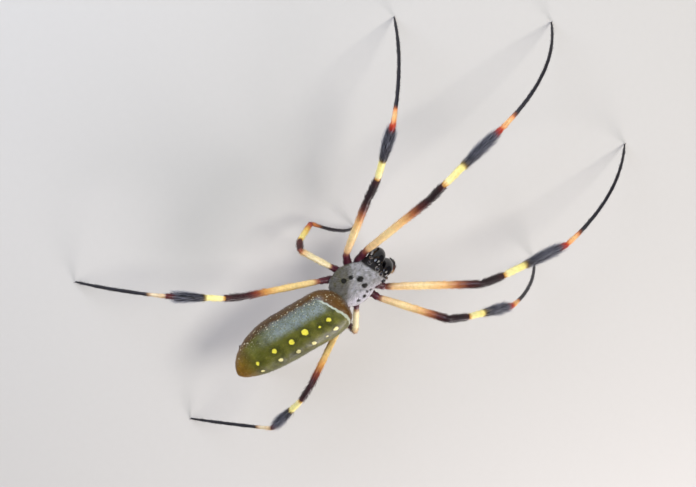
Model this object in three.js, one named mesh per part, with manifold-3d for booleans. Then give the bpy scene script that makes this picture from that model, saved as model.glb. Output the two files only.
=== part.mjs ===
// A female golden silk orb weaver at life size, standing on all eight feet, in millimetres.
// Her head faces -Y, her left side is +X and +Z is up. The origin is on the floor, under the middle of her span.
import * as THREE from "three";
import { mergeVertices } from "three/addons/utils/BufferGeometryUtils.js";
import Module from "manifold-3d";

const wasm = await Module();
wasm.setup();

// Gaps between neighbouring parts
const SEAM = 0.3;
const EYE_SEAM = 0.15;

// Middle of the cephalothorax, over the floor, and how far the body leans to its left
const BODY = { x: -1.77, y: 6.33, height: 9.9, lean: 10 };

// Cephalothorax: stations from its rear to its front, measured from its middle.
// half is the half width at the rim, crown the height above the rim, belly the depth below it.
const PROSOMA = [
  { along: -4.3, half: 1.1, crown: 0.3, belly: 0.8 },
  { along: -3.5, half: 2.3, crown: 0.7, belly: 1.5 },
  { along: -2.2, half: 3.2, crown: 1.15, belly: 1.9 },
  { along: -0.7, half: 3.45, crown: 1.35, belly: 2.0 },
  { along: 0.8, half: 3.1, crown: 1.45, belly: 1.95 },
  { along: 2.2, half: 2.4, crown: 1.75, belly: 1.7 },
  { along: 3.3, half: 2.45, crown: 1.8, belly: 1.2 },
  { along: 4.0, half: 2.5, crown: 1.6, belly: 0.7 },
  { along: 4.3, half: 2.2, crown: 1.2, belly: 0.4 },
];
const PROSOMA_RINGS = 18;
const BODY_SIDES = 24;

// Abdomen: a long barrel, blunt in front, drooping to the rear, with a nearly straight back
const ABDOMEN = {
  length: 19.6,
  radius: 3.86,
  front: { back: 2.8, above: 3.0 },
  droop: 9.9,
  lean: 6,
  shoulder: { length: 5, power: 2.4 },
  tail: { length: 8.5, power: 2.0 },
  lift: 0.65,
};
const ABDOMEN_RINGS = 24;

// Waist between the two, and the spinnerets under the tail
const WAIST = { radius: 0.6, back: 3.2, drop: 0.1, length: 3.2, rise: 30 };
const SPINNERETS = { fromTail: 2.6, spread: 0.62, radius: 0.42, length: 1.5, sink: 0.8 };

// Eyes: a square of four in the middle and a pair at each corner of the head
const EYES = {
  front_middle: { out: 0.46, forward: 4.15, above: 0.95, radius: 0.28 },
  rear_middle: { out: 0.5, forward: 3.85, above: 1.75, radius: 0.28 },
  front_side: { out: 2.12, forward: 4.0, above: 0.6, radius: 0.25 },
  rear_side: { out: 1.98, forward: 3.45, above: 1.2, radius: 0.25 },
};

// Jaws, feelers and the mouth plates behind them, for one side
const JAW = {
  path: [
    { out: 1.1, forward: 3.3, above: 0.5 },
    { out: 1.1, forward: 4.45, above: 0.35 },
    { out: 1.12, forward: 5.05, above: -0.6 },
    { out: 1.1, forward: 5.1, above: -1.7 },
    { out: 1.05, forward: 4.7, above: -2.7 },
  ],
  radii: [0.7, 0.9, 0.95, 0.85, 0.5],
};
const FANG = {
  path: [
    { out: 1.1, forward: 4.8, above: -2.3 },
    { out: 1.1, forward: 4.5, above: -3.1 },
    { out: 0.75, forward: 3.9, above: -3.35 },
    { out: 0.45, forward: 3.55, above: -3.15 },
  ],
  radii: [0.35, 0.3, 0.2, 0.08],
};
const PALP = {
  path: [
    { out: 1.2, forward: 2.6, above: -1.7 },
    { out: 2.3, forward: 3.5, above: -2.0 },
    { out: 2.55, forward: 4.9, above: -1.15 },
    { out: 2.5, forward: 5.55, above: -1.15 },
    { out: 2.3, forward: 6.1, above: -2.1 },
    { out: 1.9, forward: 6.2, above: -3.5 },
  ],
  radii: [0.3, 0.34, 0.27, 0.31, 0.33, 0.16],
};
const MOUTH_PLATE = { out: 0.62, forward: 2.7, above: -1.75, size: { x: 0.5, y: 0.95, z: 0.42 }, splay: 12 };

// Legs: where each pair leaves the body, and the length of its segments
const LEG_PAIRS = {
  1: { forward: 1.3, out: 1.7, femur: 14.8, patella: 4.0, tibia: 12.6, foot: 22.0, girth: 1.0, brush: 1.0 },
  2: { forward: 0.2, out: 2.0, femur: 12.2, patella: 3.7, tibia: 10.2, foot: 19.0, girth: 0.96, brush: 1.0 },
  3: { forward: -1.0, out: 2.0, femur: 7.0, patella: 2.6, tibia: 5.2, foot: 10.6, girth: 0.8, brush: 0 },
  4: { forward: -2.2, out: 1.7, femur: 13.0, patella: 3.3, tibia: 9.0, foot: 16.4, girth: 0.84, brush: 0.93 },
};
const HIP = { above: -1.3, reach: 3.0 };
const LEG_SIDES = 8;
const FOOT_RINGS = 8;

// Thickness of a leg of girth 1, as [share of the segment's length, radius]
const COXA_RADII = [[0.35, 0.74], [0.6, 0.7], [0.7, 0.57], [0.85, 0.65]];
const FEMUR_RADII = [[0.07, 0.57], [0.35, 0.64], [0.7, 0.58], [0.94, 0.54]];
const PATELLA_RADII = [[0.22, 0.55], [0.78, 0.55]];
const TIBIA_RADII = [[0.08, 0.54], [0.34, 0.56], [0.9, 0.52], [0.95, 0.52]];
const FOOT_RADII = { root: 0.38, shin: 0.3, tip: 0.25 };
const HIP_RADIUS = 0.5;
const TROCHANTER_RADIUS = 0.52;
const JOINT_RADIUS = 0.44;
const SHIN_TOP_RADIUS = 0.48;

// Hair brush round the shin: the shares of the tibia from its first roots to its last tips, its dense core,
// the room between its rows of locks, the locks in a row, and how much their places and lengths vary
const BRUSH = { from: 0.35, to: 0.9, core: 0.68, row: 1.05, around: 6, uneven: 0.13, ragged: 0.08 };

// One lock from its root to its last section and its tip: how far each lies from the middle of the shin,
// how far it leans towards the foot, and its width and thickness
const LOCK = {
  sections: [
    { out: 0.3, lean: 0, width: 0.4, thickness: 0.5 },
    { out: 0.84, lean: 0.28, width: 0.88, thickness: 0.5 },
    { out: 1.12, lean: 0.9, width: 0.74, thickness: 0.3 },
  ],
  tip: { out: 1.28, lean: 1.6 },
};
const SEED = 7;

// Pose: [heading, rise] of each leg segment in degrees. A heading is 0 straight ahead, 90 out to the leg's own
// side and 180 straight behind. The foot has a heading alone, as it runs down to the floor in a shallow bow.
const POSE = {
  left_1: { coxa: [37, 18], femur: [24, 25], patella: [37, 29], tibia: [-4, -20], foot: 5, bow: 3.0 },
  left_2: { coxa: [71, 11], femur: [51, 21], patella: [36, 3], tibia: [51, 12], foot: 27, bow: 1.2 },
  left_3: { coxa: [107, 15], femur: [108, 12], patella: [170, -107], tibia: [-30, -53], foot: -58, bow: 1.5 },
  left_4: { coxa: [143, 8], femur: [142, 13], patella: [137, 12], tibia: [136, -1], foot: 163, bow: 0.3 },
  right_1: { coxa: [53, 11], femur: [22, 28], patella: [28, -13], tibia: [24, -15], foot: 0, bow: 2.4 },
  right_2: { coxa: [64, 32], femur: [27, 52], patella: [43, -12], tibia: [45, -23], foot: 44, bow: 1.1 },
  right_3: { coxa: [119, 2], femur: [112, -25], patella: [150, -84], tibia: [176, -15], foot: 178, bow: 0.3 },
  right_4: { coxa: [133, 14], femur: [173, 37], patella: [143, -15], tibia: [146, -27], foot: 186, bow: 0.1 },
};

// Colours and finishes
const finish = (color, roughness) => new THREE.MeshStandardMaterial({ color, roughness, metalness: 0 });
const SILVER_CARAPACE = finish(0x9a9a8c, 0.8);
const OLIVE_ABDOMEN = finish(0x6b6a1c, 0.45);
const GLOSSY_BLACK = finish(0x0d0c12, 0.2);
const DARK_BROWN = finish(0x3b2418, 0.5);
const AMBER_FEMUR = finish(0xe2bd80, 0.4);
const BLACK_BRUSH = finish(0x17131c, 0.8);
const BLACK_FOOT = finish(0x1a1420, 0.4);

const UP = new THREE.Vector3(0, 0, 1);
const radians = THREE.MathUtils.degToRad;

// Closed skin over rings of points, each ring seen from its own front running counterclockwise.
function loft(rings) {
  const sides = rings[0].length;
  const middle = (ring) => ring.reduce((sum, p) => sum.add(p), new THREE.Vector3()).divideScalar(sides);
  const points = [...rings.flat(), middle(rings[0]), middle(rings.at(-1))];
  const start = points.length - 2;
  const end = points.length - 1;
  const lastRing = (rings.length - 1) * sides;
  const faces = [];
  for (let side = 0; side < sides; side += 1) {
    const next = (side + 1) % sides;
    for (let ring = 0; ring < lastRing; ring += sides) {
      faces.push(ring + side, ring + next, ring + sides + next);
      faces.push(ring + side, ring + sides + next, ring + sides + side);
    }
    faces.push(start, next, side);
    faces.push(end, lastRing + side, lastRing + next);
  }
  return new THREE.BufferGeometry().setFromPoints(points).setIndex(faces);
}

// Closed skin over rings of four points that ends in a point.
function pointed(rings, tip) {
  const points = [...rings.flat(), tip];
  const apex = points.length - 1;
  const last = apex - 4;
  const faces = [0, 2, 1, 0, 3, 2];
  for (let side = 0; side < 4; side += 1) {
    const next = (side + 1) % 4;
    for (let ring = 0; ring < last; ring += 4) {
      faces.push(ring + side, ring + next, ring + 4 + next);
      faces.push(ring + side, ring + 4 + next, ring + 4 + side);
    }
    faces.push(last + side, last + next, apex);
  }
  return solid(new THREE.BufferGeometry().setFromPoints(points).setIndex(faces));
}

// Solid of a closed three.js geometry.
function solid(geometry) {
  const bare = geometry.clone();
  bare.deleteAttribute("normal");
  bare.deleteAttribute("uv");
  const merged = mergeVertices(bare, 1e-4);
  const vertProperties = new Float32Array(merged.getAttribute("position").array);
  const triVerts = new Uint32Array(merged.index.array);
  return new wasm.Manifold(new wasm.Mesh({ numProp: 3, vertProperties, triVerts }));
}

// Largest closed body of a solid.
function largest(made) {
  return made.decompose().reduce((best, body) => (body.volume() > best.volume() ? body : best));
}

// Named mesh of a solid.
function part(name, made, material) {
  const { vertProperties, triVerts } = largest(made).getMesh();
  const geometry = new THREE.BufferGeometry();
  geometry.setAttribute("position", new THREE.BufferAttribute(vertProperties, 3));
  geometry.setIndex(new THREE.BufferAttribute(triVerts, 1));
  geometry.computeVertexNormals();
  const mesh = new THREE.Mesh(geometry, material);
  mesh.name = name;
  return mesh;
}

// Point of the body, measured from the middle of the cephalothorax, leaned with it.
function bodyPoint(left, forward, above, lean = BODY.lean) {
  return new THREE.Vector3(left, -forward, above).applyAxisAngle(new THREE.Vector3(0, 1, 0), radians(lean));
}

// Unit vector of a heading and a rise on one side of the body: 1 for the left, -1 for the right.
function direction(side, heading, rise) {
  const turn = radians(heading);
  const level = Math.cos(radians(rise));
  return new THREE.Vector3(side * Math.sin(turn) * level, -Math.cos(turn) * level, Math.sin(radians(rise)));
}

// Tube of round sections along a bent line, with mitred bends. A face normal slants an end.
function tube(line, radii, sides, faces = {}) {
  const steps = line.slice(1).map((point, i) => point.clone().sub(line[i]).normalize());
  const along = steps[0].clone();
  const upward = UP.clone().addScaledVector(along, -UP.dot(along)).normalize();
  const rings = line.map((point, i) => {
    const into = steps[Math.max(i - 1, 0)];
    const out = steps[Math.min(i, steps.length - 1)];
    upward.applyQuaternion(new THREE.Quaternion().setFromUnitVectors(along, into));
    along.copy(into);
    const sideways = upward.clone().cross(along);
    let plane = into.clone().add(out).normalize();
    if (i === 0 && faces.start) plane = faces.start;
    if (i === line.length - 1 && faces.end) plane = faces.end;
    return Array.from({ length: sides }, (_, k) => {
      const angle = (2 * Math.PI * (k + 0.5)) / sides;
      const spoke = sideways.clone().multiplyScalar(Math.cos(angle)).addScaledVector(upward, Math.sin(angle));
      spoke.multiplyScalar(radii[i]);
      return point.clone().add(spoke).addScaledVector(into, -spoke.dot(plane) / into.dot(plane));
    });
  });
  return solid(loft(rings));
}

// Values of the cephalothorax at a share of its length from rear to front, smoothly between its stations.
function prosomaStation(share) {
  const shape = new THREE.CatmullRomCurve3(PROSOMA.map((s) => new THREE.Vector3(s.half, s.crown, s.belly)));
  const place = new THREE.CatmullRomCurve3(PROSOMA.map((s) => new THREE.Vector3(s.along, 0, 0)));
  const { x: half, y: crown, z: belly } = shape.getPoint(share);
  return { along: place.getPoint(share).x, half, crown, belly };
}

// Cephalothorax without its sockets and waist, grown outwards all round.
function prosomaBody(grow) {
  const rings = [];
  for (let i = 0; i <= PROSOMA_RINGS; i += 1) {
    const station = prosomaStation(i / PROSOMA_RINGS);
    const along = station.along + grow * ((2 * i) / PROSOMA_RINGS - 1);
    rings.push(
      Array.from({ length: BODY_SIDES }, (_, k) => {
        const angle = (2 * Math.PI * k) / BODY_SIDES;
        const height = Math.sin(angle) > 0 ? station.crown : station.belly;
        return bodyPoint(
          (station.half + grow) * Math.cos(angle),
          along,
          (height + grow) * Math.sin(angle),
        );
      }),
    );
  }
  return solid(loft(rings));
}

// Radius of the abdomen at a distance from its front end.
function abdomenRadius(distance) {
  const { length, radius, shoulder, tail } = ABDOMEN;
  const round = (end, far) => (1 - Math.max(0, 1 - far / end.length) ** end.power) ** (1 / end.power);
  return radius * round(shoulder, distance) * round(tail, length - distance);
}

// Point of the abdomen's own frame: distance from its front end, and the place in the section there.
function abdomenPoint(distance, left, above) {
  const droop = radians(ABDOMEN.droop);
  const back = ABDOMEN.front.back + distance * Math.cos(droop) + above * Math.sin(droop);
  const high = ABDOMEN.front.above - distance * Math.sin(droop) + above * Math.cos(droop);
  return bodyPoint(left, -back, high, ABDOMEN.lean);
}

// Abdomen, grown outwards all round. Its section rises where it is thin, so that its back stays straight.
function abdomenBody(grow) {
  const rings = [];
  for (let i = ABDOMEN_RINGS; i >= 0; i -= 1) {
    const share = 0.5 - 0.5 * Math.cos((Math.PI * (i + 0.35)) / (ABDOMEN_RINGS + 0.7));
    const distance = ABDOMEN.length * share;
    const radius = abdomenRadius(distance);
    const lift = ABDOMEN.lift * (ABDOMEN.radius - radius);
    rings.push(
      Array.from({ length: BODY_SIDES }, (_, k) => {
        const angle = (2 * Math.PI * k) / BODY_SIDES;
        return abdomenPoint(
          distance + grow * (2 * share - 1),
          (radius + grow) * Math.cos(angle),
          lift + (radius + grow) * Math.sin(angle),
        );
      }),
    );
  }
  return solid(loft(rings));
}

// Short stalk from under the rear of the cephalothorax up to the abdomen.
function waist() {
  const start = bodyPoint(0, -WAIST.back, -WAIST.drop);
  const end = start.clone().addScaledVector(direction(1, 180, WAIST.rise), WAIST.length);
  return tube([start, end], [WAIST.radius, WAIST.radius], LEG_SIDES);
}

// Point on one side of the head.
function headPoint(side, { out, forward, above }) {
  return bodyPoint(side * out, forward, above);
}

function ball(centre, radius) {
  return solid(new THREE.SphereGeometry(radius, 8, 6).translate(centre.x, centre.y, centre.z));
}

// Pair of plates behind the jaws, one of them on each side of the mouth.
function mouthPlates() {
  const plates = [-1, 1].map((side) => {
    const { size, splay } = MOUTH_PLATE;
    const plate = new THREE.SphereGeometry(1, 8, 6).scale(size.x, size.y, size.z);
    const centre = headPoint(side, MOUTH_PLATE);
    return solid(plate.rotateZ(side * radians(splay)).translate(centre.x, centre.y, centre.z));
  });
  return plates[0].add(plates[1]);
}

// Six blunt spinnerets on one mound under the tail.
function spinneretGroup() {
  const { fromTail, spread, radius, length, sink } = SPINNERETS;
  const distance = ABDOMEN.length - fromTail;
  const underside = ABDOMEN.lift * ABDOMEN.radius - (1 + ABDOMEN.lift) * abdomenRadius(distance);
  const cones = [];
  for (const [row, share] of [[-1, 1], [0, 0.72], [1, 1]]) {
    for (const side of [-1, 1]) {
      const root = abdomenPoint(distance + row * spread, side * spread * 0.5, underside + sink);
      const back = distance + row * spread * 1.3 + 0.5;
      const tip = abdomenPoint(back, side * spread * 0.62, underside - length * share);
      cones.push(tube([root, tip], [radius, radius * 0.55], LEG_SIDES));
    }
  }
  return wasm.Manifold.union(cones);
}

// Joints of a leg, from the hip to the tip of the foot.
function legJoints(name) {
  const [sideName, pairName] = name.split("_");
  const side = sideName === "left" ? 1 : -1;
  const pair = LEG_PAIRS[pairName];
  const pose = POSE[name];
  const joints = [bodyPoint(side * pair.out, pair.forward, HIP.above)];
  const lengths = [HIP.reach, pair.femur, pair.patella, pair.tibia];
  [pose.coxa, pose.femur, pose.patella, pose.tibia].forEach(([heading, rise], i) => {
    joints.push(joints[i].clone().addScaledVector(direction(side, heading, rise), lengths[i]));
  });
  const ankle = joints[4];
  const height = BODY.height + ankle.z;
  const straight = pair.foot * (1 - 2.67 * (pose.bow / pair.foot) ** 2);
  const reach = Math.sqrt(straight ** 2 - height ** 2);
  joints.push(ankle.clone().addScaledVector(direction(side, pose.foot, 0), reach).setZ(-BODY.height));
  return joints;
}

// Ring stations along one straight segment.
function stations(from, to, radii, girth) {
  return radii.map(([share, radius]) => ({ point: from.clone().lerp(to, share), radius: radius * girth }));
}

// Point just short of a joint, half a seam away from its mitre face.
function shortOf(joint, neighbour, face) {
  const away = neighbour.clone().sub(joint).normalize();
  return joint.clone().addScaledVector(away, SEAM / 2 / Math.abs(away.dot(face)));
}

// Face between two segments that meet at a joint.
function mitre(before, joint, after) {
  const into = joint.clone().sub(before).normalize();
  const out = after.clone().sub(joint).normalize();
  return into.add(out).normalize();
}

function tubeOf(rings, faces) {
  return tube(rings.map((r) => r.point), rings.map((r) => r.radius), LEG_SIDES, faces);
}

// Hip, trochanter and femur of a leg.
function upperLeg([hip, trochanter, knee, shin], girth) {
  const face = mitre(trochanter, knee, shin);
  const rings = [
    { point: hip, radius: HIP_RADIUS * girth },
    ...stations(hip, trochanter, COXA_RADII, girth),
    { point: trochanter, radius: TROCHANTER_RADIUS * girth },
    ...stations(trochanter, knee, FEMUR_RADII, girth),
    { point: shortOf(knee, trochanter, face), radius: JOINT_RADIUS * girth },
  ];
  return tubeOf(rings, { end: face });
}

// Flat tapered lock of the brush. It grows outwards from the shin, bends towards the foot and ends in a point.
function lock(shinPoint, outward, along, size) {
  const across = along.clone().cross(outward);
  const place = ({ out, lean }) =>
    shinPoint.clone().addScaledVector(outward, out * size).addScaledVector(along, lean);
  const line = [...LOCK.sections, LOCK.tip].map(place);
  const rings = LOCK.sections.map(({ width, thickness }, i) => {
    const course = line[i + 1].clone().sub(line[Math.max(i - 1, 0)]).normalize();
    const thin = course.clone().cross(across);
    return [[across, width], [thin, thickness], [across, -width], [thin, -thickness]].map(
      ([spoke, wide]) => line[i].clone().addScaledVector(spoke, wide / 2),
    );
  });
  return pointed(rings, line.at(-1));
}

// Rows of locks all round the shin, each row turned by half a lock from the one before it.
function brushLocks(shin, ankle, size) {
  const along = ankle.clone().sub(shin).normalize();
  const upward = UP.clone().addScaledVector(along, -UP.dot(along)).normalize();
  const length = shin.distanceTo(ankle);
  const start = BRUSH.from * length;
  const end = BRUSH.to * length - LOCK.tip.lean;
  const rows = Math.round((end - start) / BRUSH.row);
  const shake = (amount) => amount * (2 * THREE.MathUtils.seededRandom() - 1);
  const locks = [];
  for (let row = 0; row <= rows; row += 1) {
    for (let k = 0; k < BRUSH.around; k += 1) {
      const turn = (2 * Math.PI * (k + (row % 2) / 2 + shake(BRUSH.uneven))) / BRUSH.around;
      const far = THREE.MathUtils.lerp(start, end, row / rows) + shake(BRUSH.uneven * BRUSH.row);
      const outward = upward.clone().applyAxisAngle(along, turn);
      locks.push(lock(shin.clone().addScaledVector(along, far), outward, along, size * (1 + shake(BRUSH.ragged))));
    }
  }
  return locks;
}

// Patella and tibia of a leg, with the brush round the tibia if the leg has one.
function middleLeg([, trochanter, knee, shin, ankle, tip], girth, brush) {
  const kneeFace = mitre(trochanter, knee, shin);
  const ankleFace = mitre(shin, ankle, tip);
  const core = [[BRUSH.from + 0.04, BRUSH.core], [BRUSH.to - 0.06, BRUSH.core]];
  const radii = brush ? [...TIBIA_RADII.slice(0, 2), ...core, ...TIBIA_RADII.slice(2)] : TIBIA_RADII;
  const rings = [
    { point: shortOf(knee, shin, kneeFace), radius: JOINT_RADIUS * girth },
    ...stations(knee, shin, PATELLA_RADII, girth),
    { point: shin, radius: SHIN_TOP_RADIUS * girth },
    ...stations(shin, ankle, radii, girth),
    { point: shortOf(ankle, shin, ankleFace), radius: JOINT_RADIUS * girth },
  ];
  const bare = tubeOf(rings, { start: kneeFace, end: ankleFace });
  return brush ? wasm.Manifold.union([bare, ...brushLocks(shin, ankle, brush)]) : bare;
}

// Metatarsus and tarsus of a leg, bowed upwards on their way to the floor.
function foot([, , , shin, ankle, tip], girth, bow) {
  const face = mitre(shin, ankle, tip);
  const toe = tip.clone().setZ(tip.z + FOOT_RADII.tip / 2);
  const chord = toe.clone().sub(ankle).normalize();
  const arch = UP.clone().addScaledVector(chord, -UP.dot(chord)).normalize();
  const top = ankle.clone().add(toe).divideScalar(2).addScaledVector(arch, 2 * bow);
  const curve = new THREE.QuadraticBezierCurve3(ankle, top, toe);
  const rings = [{ point: shortOf(ankle, curve.getPoint(0.05), face), radius: FOOT_RADII.root * girth }];
  for (let i = 1; i <= FOOT_RINGS; i += 1) {
    const share = i / FOOT_RINGS;
    const { shin: upper, tip: lower } = FOOT_RADII;
    rings.push({ point: curve.getPoint(share), radius: THREE.MathUtils.lerp(upper, lower, share) });
  }
  return tubeOf(rings, { start: face });
}

// Ground that the feet are cut flat against.
function underfloor() {
  const thickness = 5;
  return solid(new THREE.BoxGeometry(200, 200, thickness).translate(0, 0, -BODY.height - thickness / 2));
}

const spider = new THREE.Group();
spider.position.set(BODY.x, BODY.y, BODY.height);

const ground = underfloor();
const prosomaSpace = prosomaBody(SEAM);
const abdomenSpace = abdomenBody(SEAM);
THREE.MathUtils.seededRandom(SEED);

let cephalothorax = prosomaBody(0).add(mouthPlates()).add(waist()).subtract(abdomenSpace);
for (const [name, eye] of Object.entries(EYES)) {
  for (const [sideName, side] of [["left", 1], ["right", -1]]) {
    const centre = headPoint(side, eye);
    cephalothorax = cephalothorax.subtract(ball(centre, eye.radius + EYE_SEAM));
    spider.add(part(`eye_${name}_${sideName}`, ball(centre, eye.radius), GLOSSY_BLACK));
  }
}
spider.add(part("cephalothorax", cephalothorax, SILVER_CARAPACE));
spider.add(part("abdomen", abdomenBody(0), OLIVE_ABDOMEN));
spider.add(part("spinnerets", spinneretGroup().subtract(abdomenSpace), DARK_BROWN));

for (const [sideName, side] of [["left", 1], ["right", -1]]) {
  const line = (piece) => piece.path.map((place) => headPoint(side, place));
  const jaw = tube(line(JAW), JAW.radii, 12).add(tube(line(FANG), FANG.radii, LEG_SIDES));
  spider.add(part(`jaw_${sideName}`, jaw.subtract(prosomaSpace), GLOSSY_BLACK));
  spider.add(part(`palp_${sideName}`, tube(line(PALP), PALP.radii, LEG_SIDES).subtract(prosomaSpace), DARK_BROWN));
}

for (const [name, pose] of Object.entries(POSE)) {
  const joints = legJoints(name);
  const { girth, brush } = LEG_PAIRS[name.split("_")[1]];
  const upper = upperLeg(joints, girth).subtract(prosomaSpace);
  spider.add(part(`leg_${name}_femur`, upper, AMBER_FEMUR));
  spider.add(part(`leg_${name}_tibia`, middleLeg(joints, girth, brush), BLACK_BRUSH));
  spider.add(part(`leg_${name}_foot`, foot(joints, girth, pose.bow).subtract(ground), BLACK_FOOT));
}

export default spider;
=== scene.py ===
"""Looks of a golden silk orb weaver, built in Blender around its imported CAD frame.

The spider stands still and life size on a plain floor. One skin covers its flesh, under
bristle brushes, short hairs, a silver felt and down. Jaws, fangs, eyes and claws are
pieces of their own. Sizes are in millimetres and degrees, until a mesh is made in metres.
"""

import logging
import math
from dataclasses import dataclass, field, fields
from enum import Enum

import bpy
import numpy as np
from mathutils import Matrix


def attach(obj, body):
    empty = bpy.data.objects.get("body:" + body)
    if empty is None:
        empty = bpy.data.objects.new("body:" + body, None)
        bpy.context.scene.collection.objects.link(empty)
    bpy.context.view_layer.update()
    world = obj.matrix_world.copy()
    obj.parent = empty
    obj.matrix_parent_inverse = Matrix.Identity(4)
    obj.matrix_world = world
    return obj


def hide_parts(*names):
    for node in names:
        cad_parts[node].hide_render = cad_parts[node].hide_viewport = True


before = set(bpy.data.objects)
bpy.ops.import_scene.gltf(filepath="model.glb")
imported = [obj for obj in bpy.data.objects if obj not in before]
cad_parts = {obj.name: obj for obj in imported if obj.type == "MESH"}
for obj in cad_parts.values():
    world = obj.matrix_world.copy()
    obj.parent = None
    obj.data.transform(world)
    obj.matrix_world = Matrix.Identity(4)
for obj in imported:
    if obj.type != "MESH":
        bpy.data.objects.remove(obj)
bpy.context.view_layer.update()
LOG = logging.getLogger("spider")

MM = 0.001
SEED = 7
UP = np.array([0.0, 0.0, 1.0])
NEARLY_UP = np.array([0.01, 0.0, 1.0])
LEFT, RIGHT = 1, -1
SIDE_NAMES = {LEFT: "left", RIGHT: "right"}
MAP_NAME = "OFBake"
PATCH = 0.003


def unit(vectors: np.ndarray) -> np.ndarray:
    """Vectors of the same directions and of length one."""
    return vectors / np.linalg.norm(vectors, axis=-1, keepdims=True)


def direction(side: int, heading: float, rise: float) -> np.ndarray:
    """Unit vector of a heading and a rise on one side of the body.

    Args:
        side: LEFT or RIGHT.
        heading: Degrees from straight ahead, growing outwards.
        rise: Degrees over the horizon.

    Returns:
        The vector in the row frame.
    """
    turn, lift = math.radians(heading), math.radians(rise)
    level = math.cos(lift)
    return np.array([side * math.sin(turn) * level, -math.cos(turn) * level, math.sin(lift)])


def through(knots: list[tuple[float, ...]], at: np.ndarray) -> np.ndarray:
    """Smooth curve through knots, each a position followed by its values.

    Args:
        knots: Rows of a position and one or more values.
        at: Positions to read, inside the knots' range.

    Returns:
        One column for each value.
    """
    table = np.array(knots, float)
    where, values = table[:, 0], table[:, 1:]
    slopes = np.gradient(values, where, axis=0)
    spot = np.clip(np.searchsorted(where, at, side="right") - 1, 0, len(where) - 2)
    width = (where[spot + 1] - where[spot])[:, None]
    t = ((at - where[spot]) / width[:, 0])[:, None]
    low, high = values[spot], values[spot + 1]
    rise_in, rise_out = slopes[spot] * width, slopes[spot + 1] * width
    return (
        (2 * t**3 - 3 * t**2 + 1) * low
        + (t**3 - 2 * t**2 + t) * rise_in
        + (3 * t**2 - 2 * t**3) * high
        + (t**3 - t**2) * rise_out
    )


def step(values: np.ndarray, low: float, high: float) -> np.ndarray:
    """Smooth step of the values, from 0 at low to 1 at high."""
    t = np.clip((values - low) / (high - low), 0, 1)
    return t * t * (3 - 2 * t)


def ripple(points: np.ndarray, size: float, seed: int) -> np.ndarray:
    """Soft uneven relief from -1 to 1, made of a few crossed waves.

    Args:
        points: Places, in millimetres.
        size: Width of a hump, in millimetres.
        seed: Picks the waves.

    Returns:
        One height for each point.
    """
    draw = np.random.default_rng(seed)
    waves = 9
    height = np.zeros(points.shape[:-1])
    for _ in range(waves):
        way = unit(draw.normal(size=3)) * draw.uniform(0.7, 1.5) * math.pi / size
        height += np.sin(points @ way + draw.uniform(0, 2 * math.pi))
    return height / math.sqrt(waves)


def reading(table: tuple[tuple[float, float], ...], at: np.ndarray) -> np.ndarray:
    """Values of a table of places and values, on straight lines between its rows."""
    places, values = np.array(table, float).T
    return np.interp(at, places, values)


def placed(name: str, data: bpy.types.ID) -> bpy.types.Object:
    """New object of that name and data, linked to the scene."""
    made = bpy.data.objects.new(name, data)
    bpy.context.scene.collection.objects.link(made)
    return made


def standing(right: np.ndarray, up: np.ndarray, back: np.ndarray, place: np.ndarray) -> Matrix:
    """World matrix of an object with these axes, at a place in millimetres."""
    rows = np.column_stack([right, up, back, place * MM])
    return Matrix([*rows.tolist(), [0.0, 0.0, 0.0, 1.0]])


@dataclass(frozen=True)
class Stance:
    """Where the body is held over the floor, and how far it leans to its left."""

    x: float = -1.77
    y: float = 6.33
    height: float = 9.9
    lean: float = 10.0

    def place(
        self,
        left: np.ndarray | float,
        forward: np.ndarray | float,
        above: np.ndarray | float,
        lean: float | None = None,
    ) -> np.ndarray:
        """Row frame point of a place that is given from the body's middle.

        Args:
            left: Towards the spider's left.
            forward: Towards its head.
            above: Towards its back.
            lean: Lean of the part, the body's own if left out.

        Returns:
            Points in millimetres, in a last axis of three.
        """
        turn = math.radians(self.lean if lean is None else lean)
        left, forward, above = np.broadcast_arrays(left, forward, above)
        return np.stack(
            [
                left * math.cos(turn) + above * math.sin(turn) + self.x,
                -forward + self.y,
                -left * math.sin(turn) + above * math.cos(turn) + self.height,
            ],
            -1,
        )


STANCE = Stance()


class Region(Enum):
    """Parts of the skin that have a finish of their own."""

    CARAPACE = 0
    ABDOMEN = 1
    FRONT_LEG = 2
    THIRD_LEG = 3
    HIND_LEG = 4
    PALP = 5
    SPINNERET = 6


@dataclass
class Atlas:
    """Square map on which the unrolled shells lie side by side."""

    side: float = 68.0
    gap: float = 0.5
    across: float = 0.0
    along: float = 0.0
    shelf: float = 0.0

    def corner(self, length: float, girth: float) -> tuple[float, float]:
        """Takes a free rectangle.

        Args:
            length: Width of the rectangle on the map.
            girth: Its height.

        Returns:
            Its lower left corner.
        """
        if self.across + length > self.side:
            self.across = 0.0
            self.along += self.shelf + self.gap
            self.shelf = 0.0
        found = (self.across, self.along)
        self.across += length + self.gap
        self.shelf = max(self.shelf, girth)
        if self.along + self.shelf > self.side:
            raise ValueError("the shells don't fit on the map")
        return found


POINT_VALUES = ("along", "brush", "hair", "felt", "down", "reach")
POINT_VECTORS = ("place", "lie")


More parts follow.
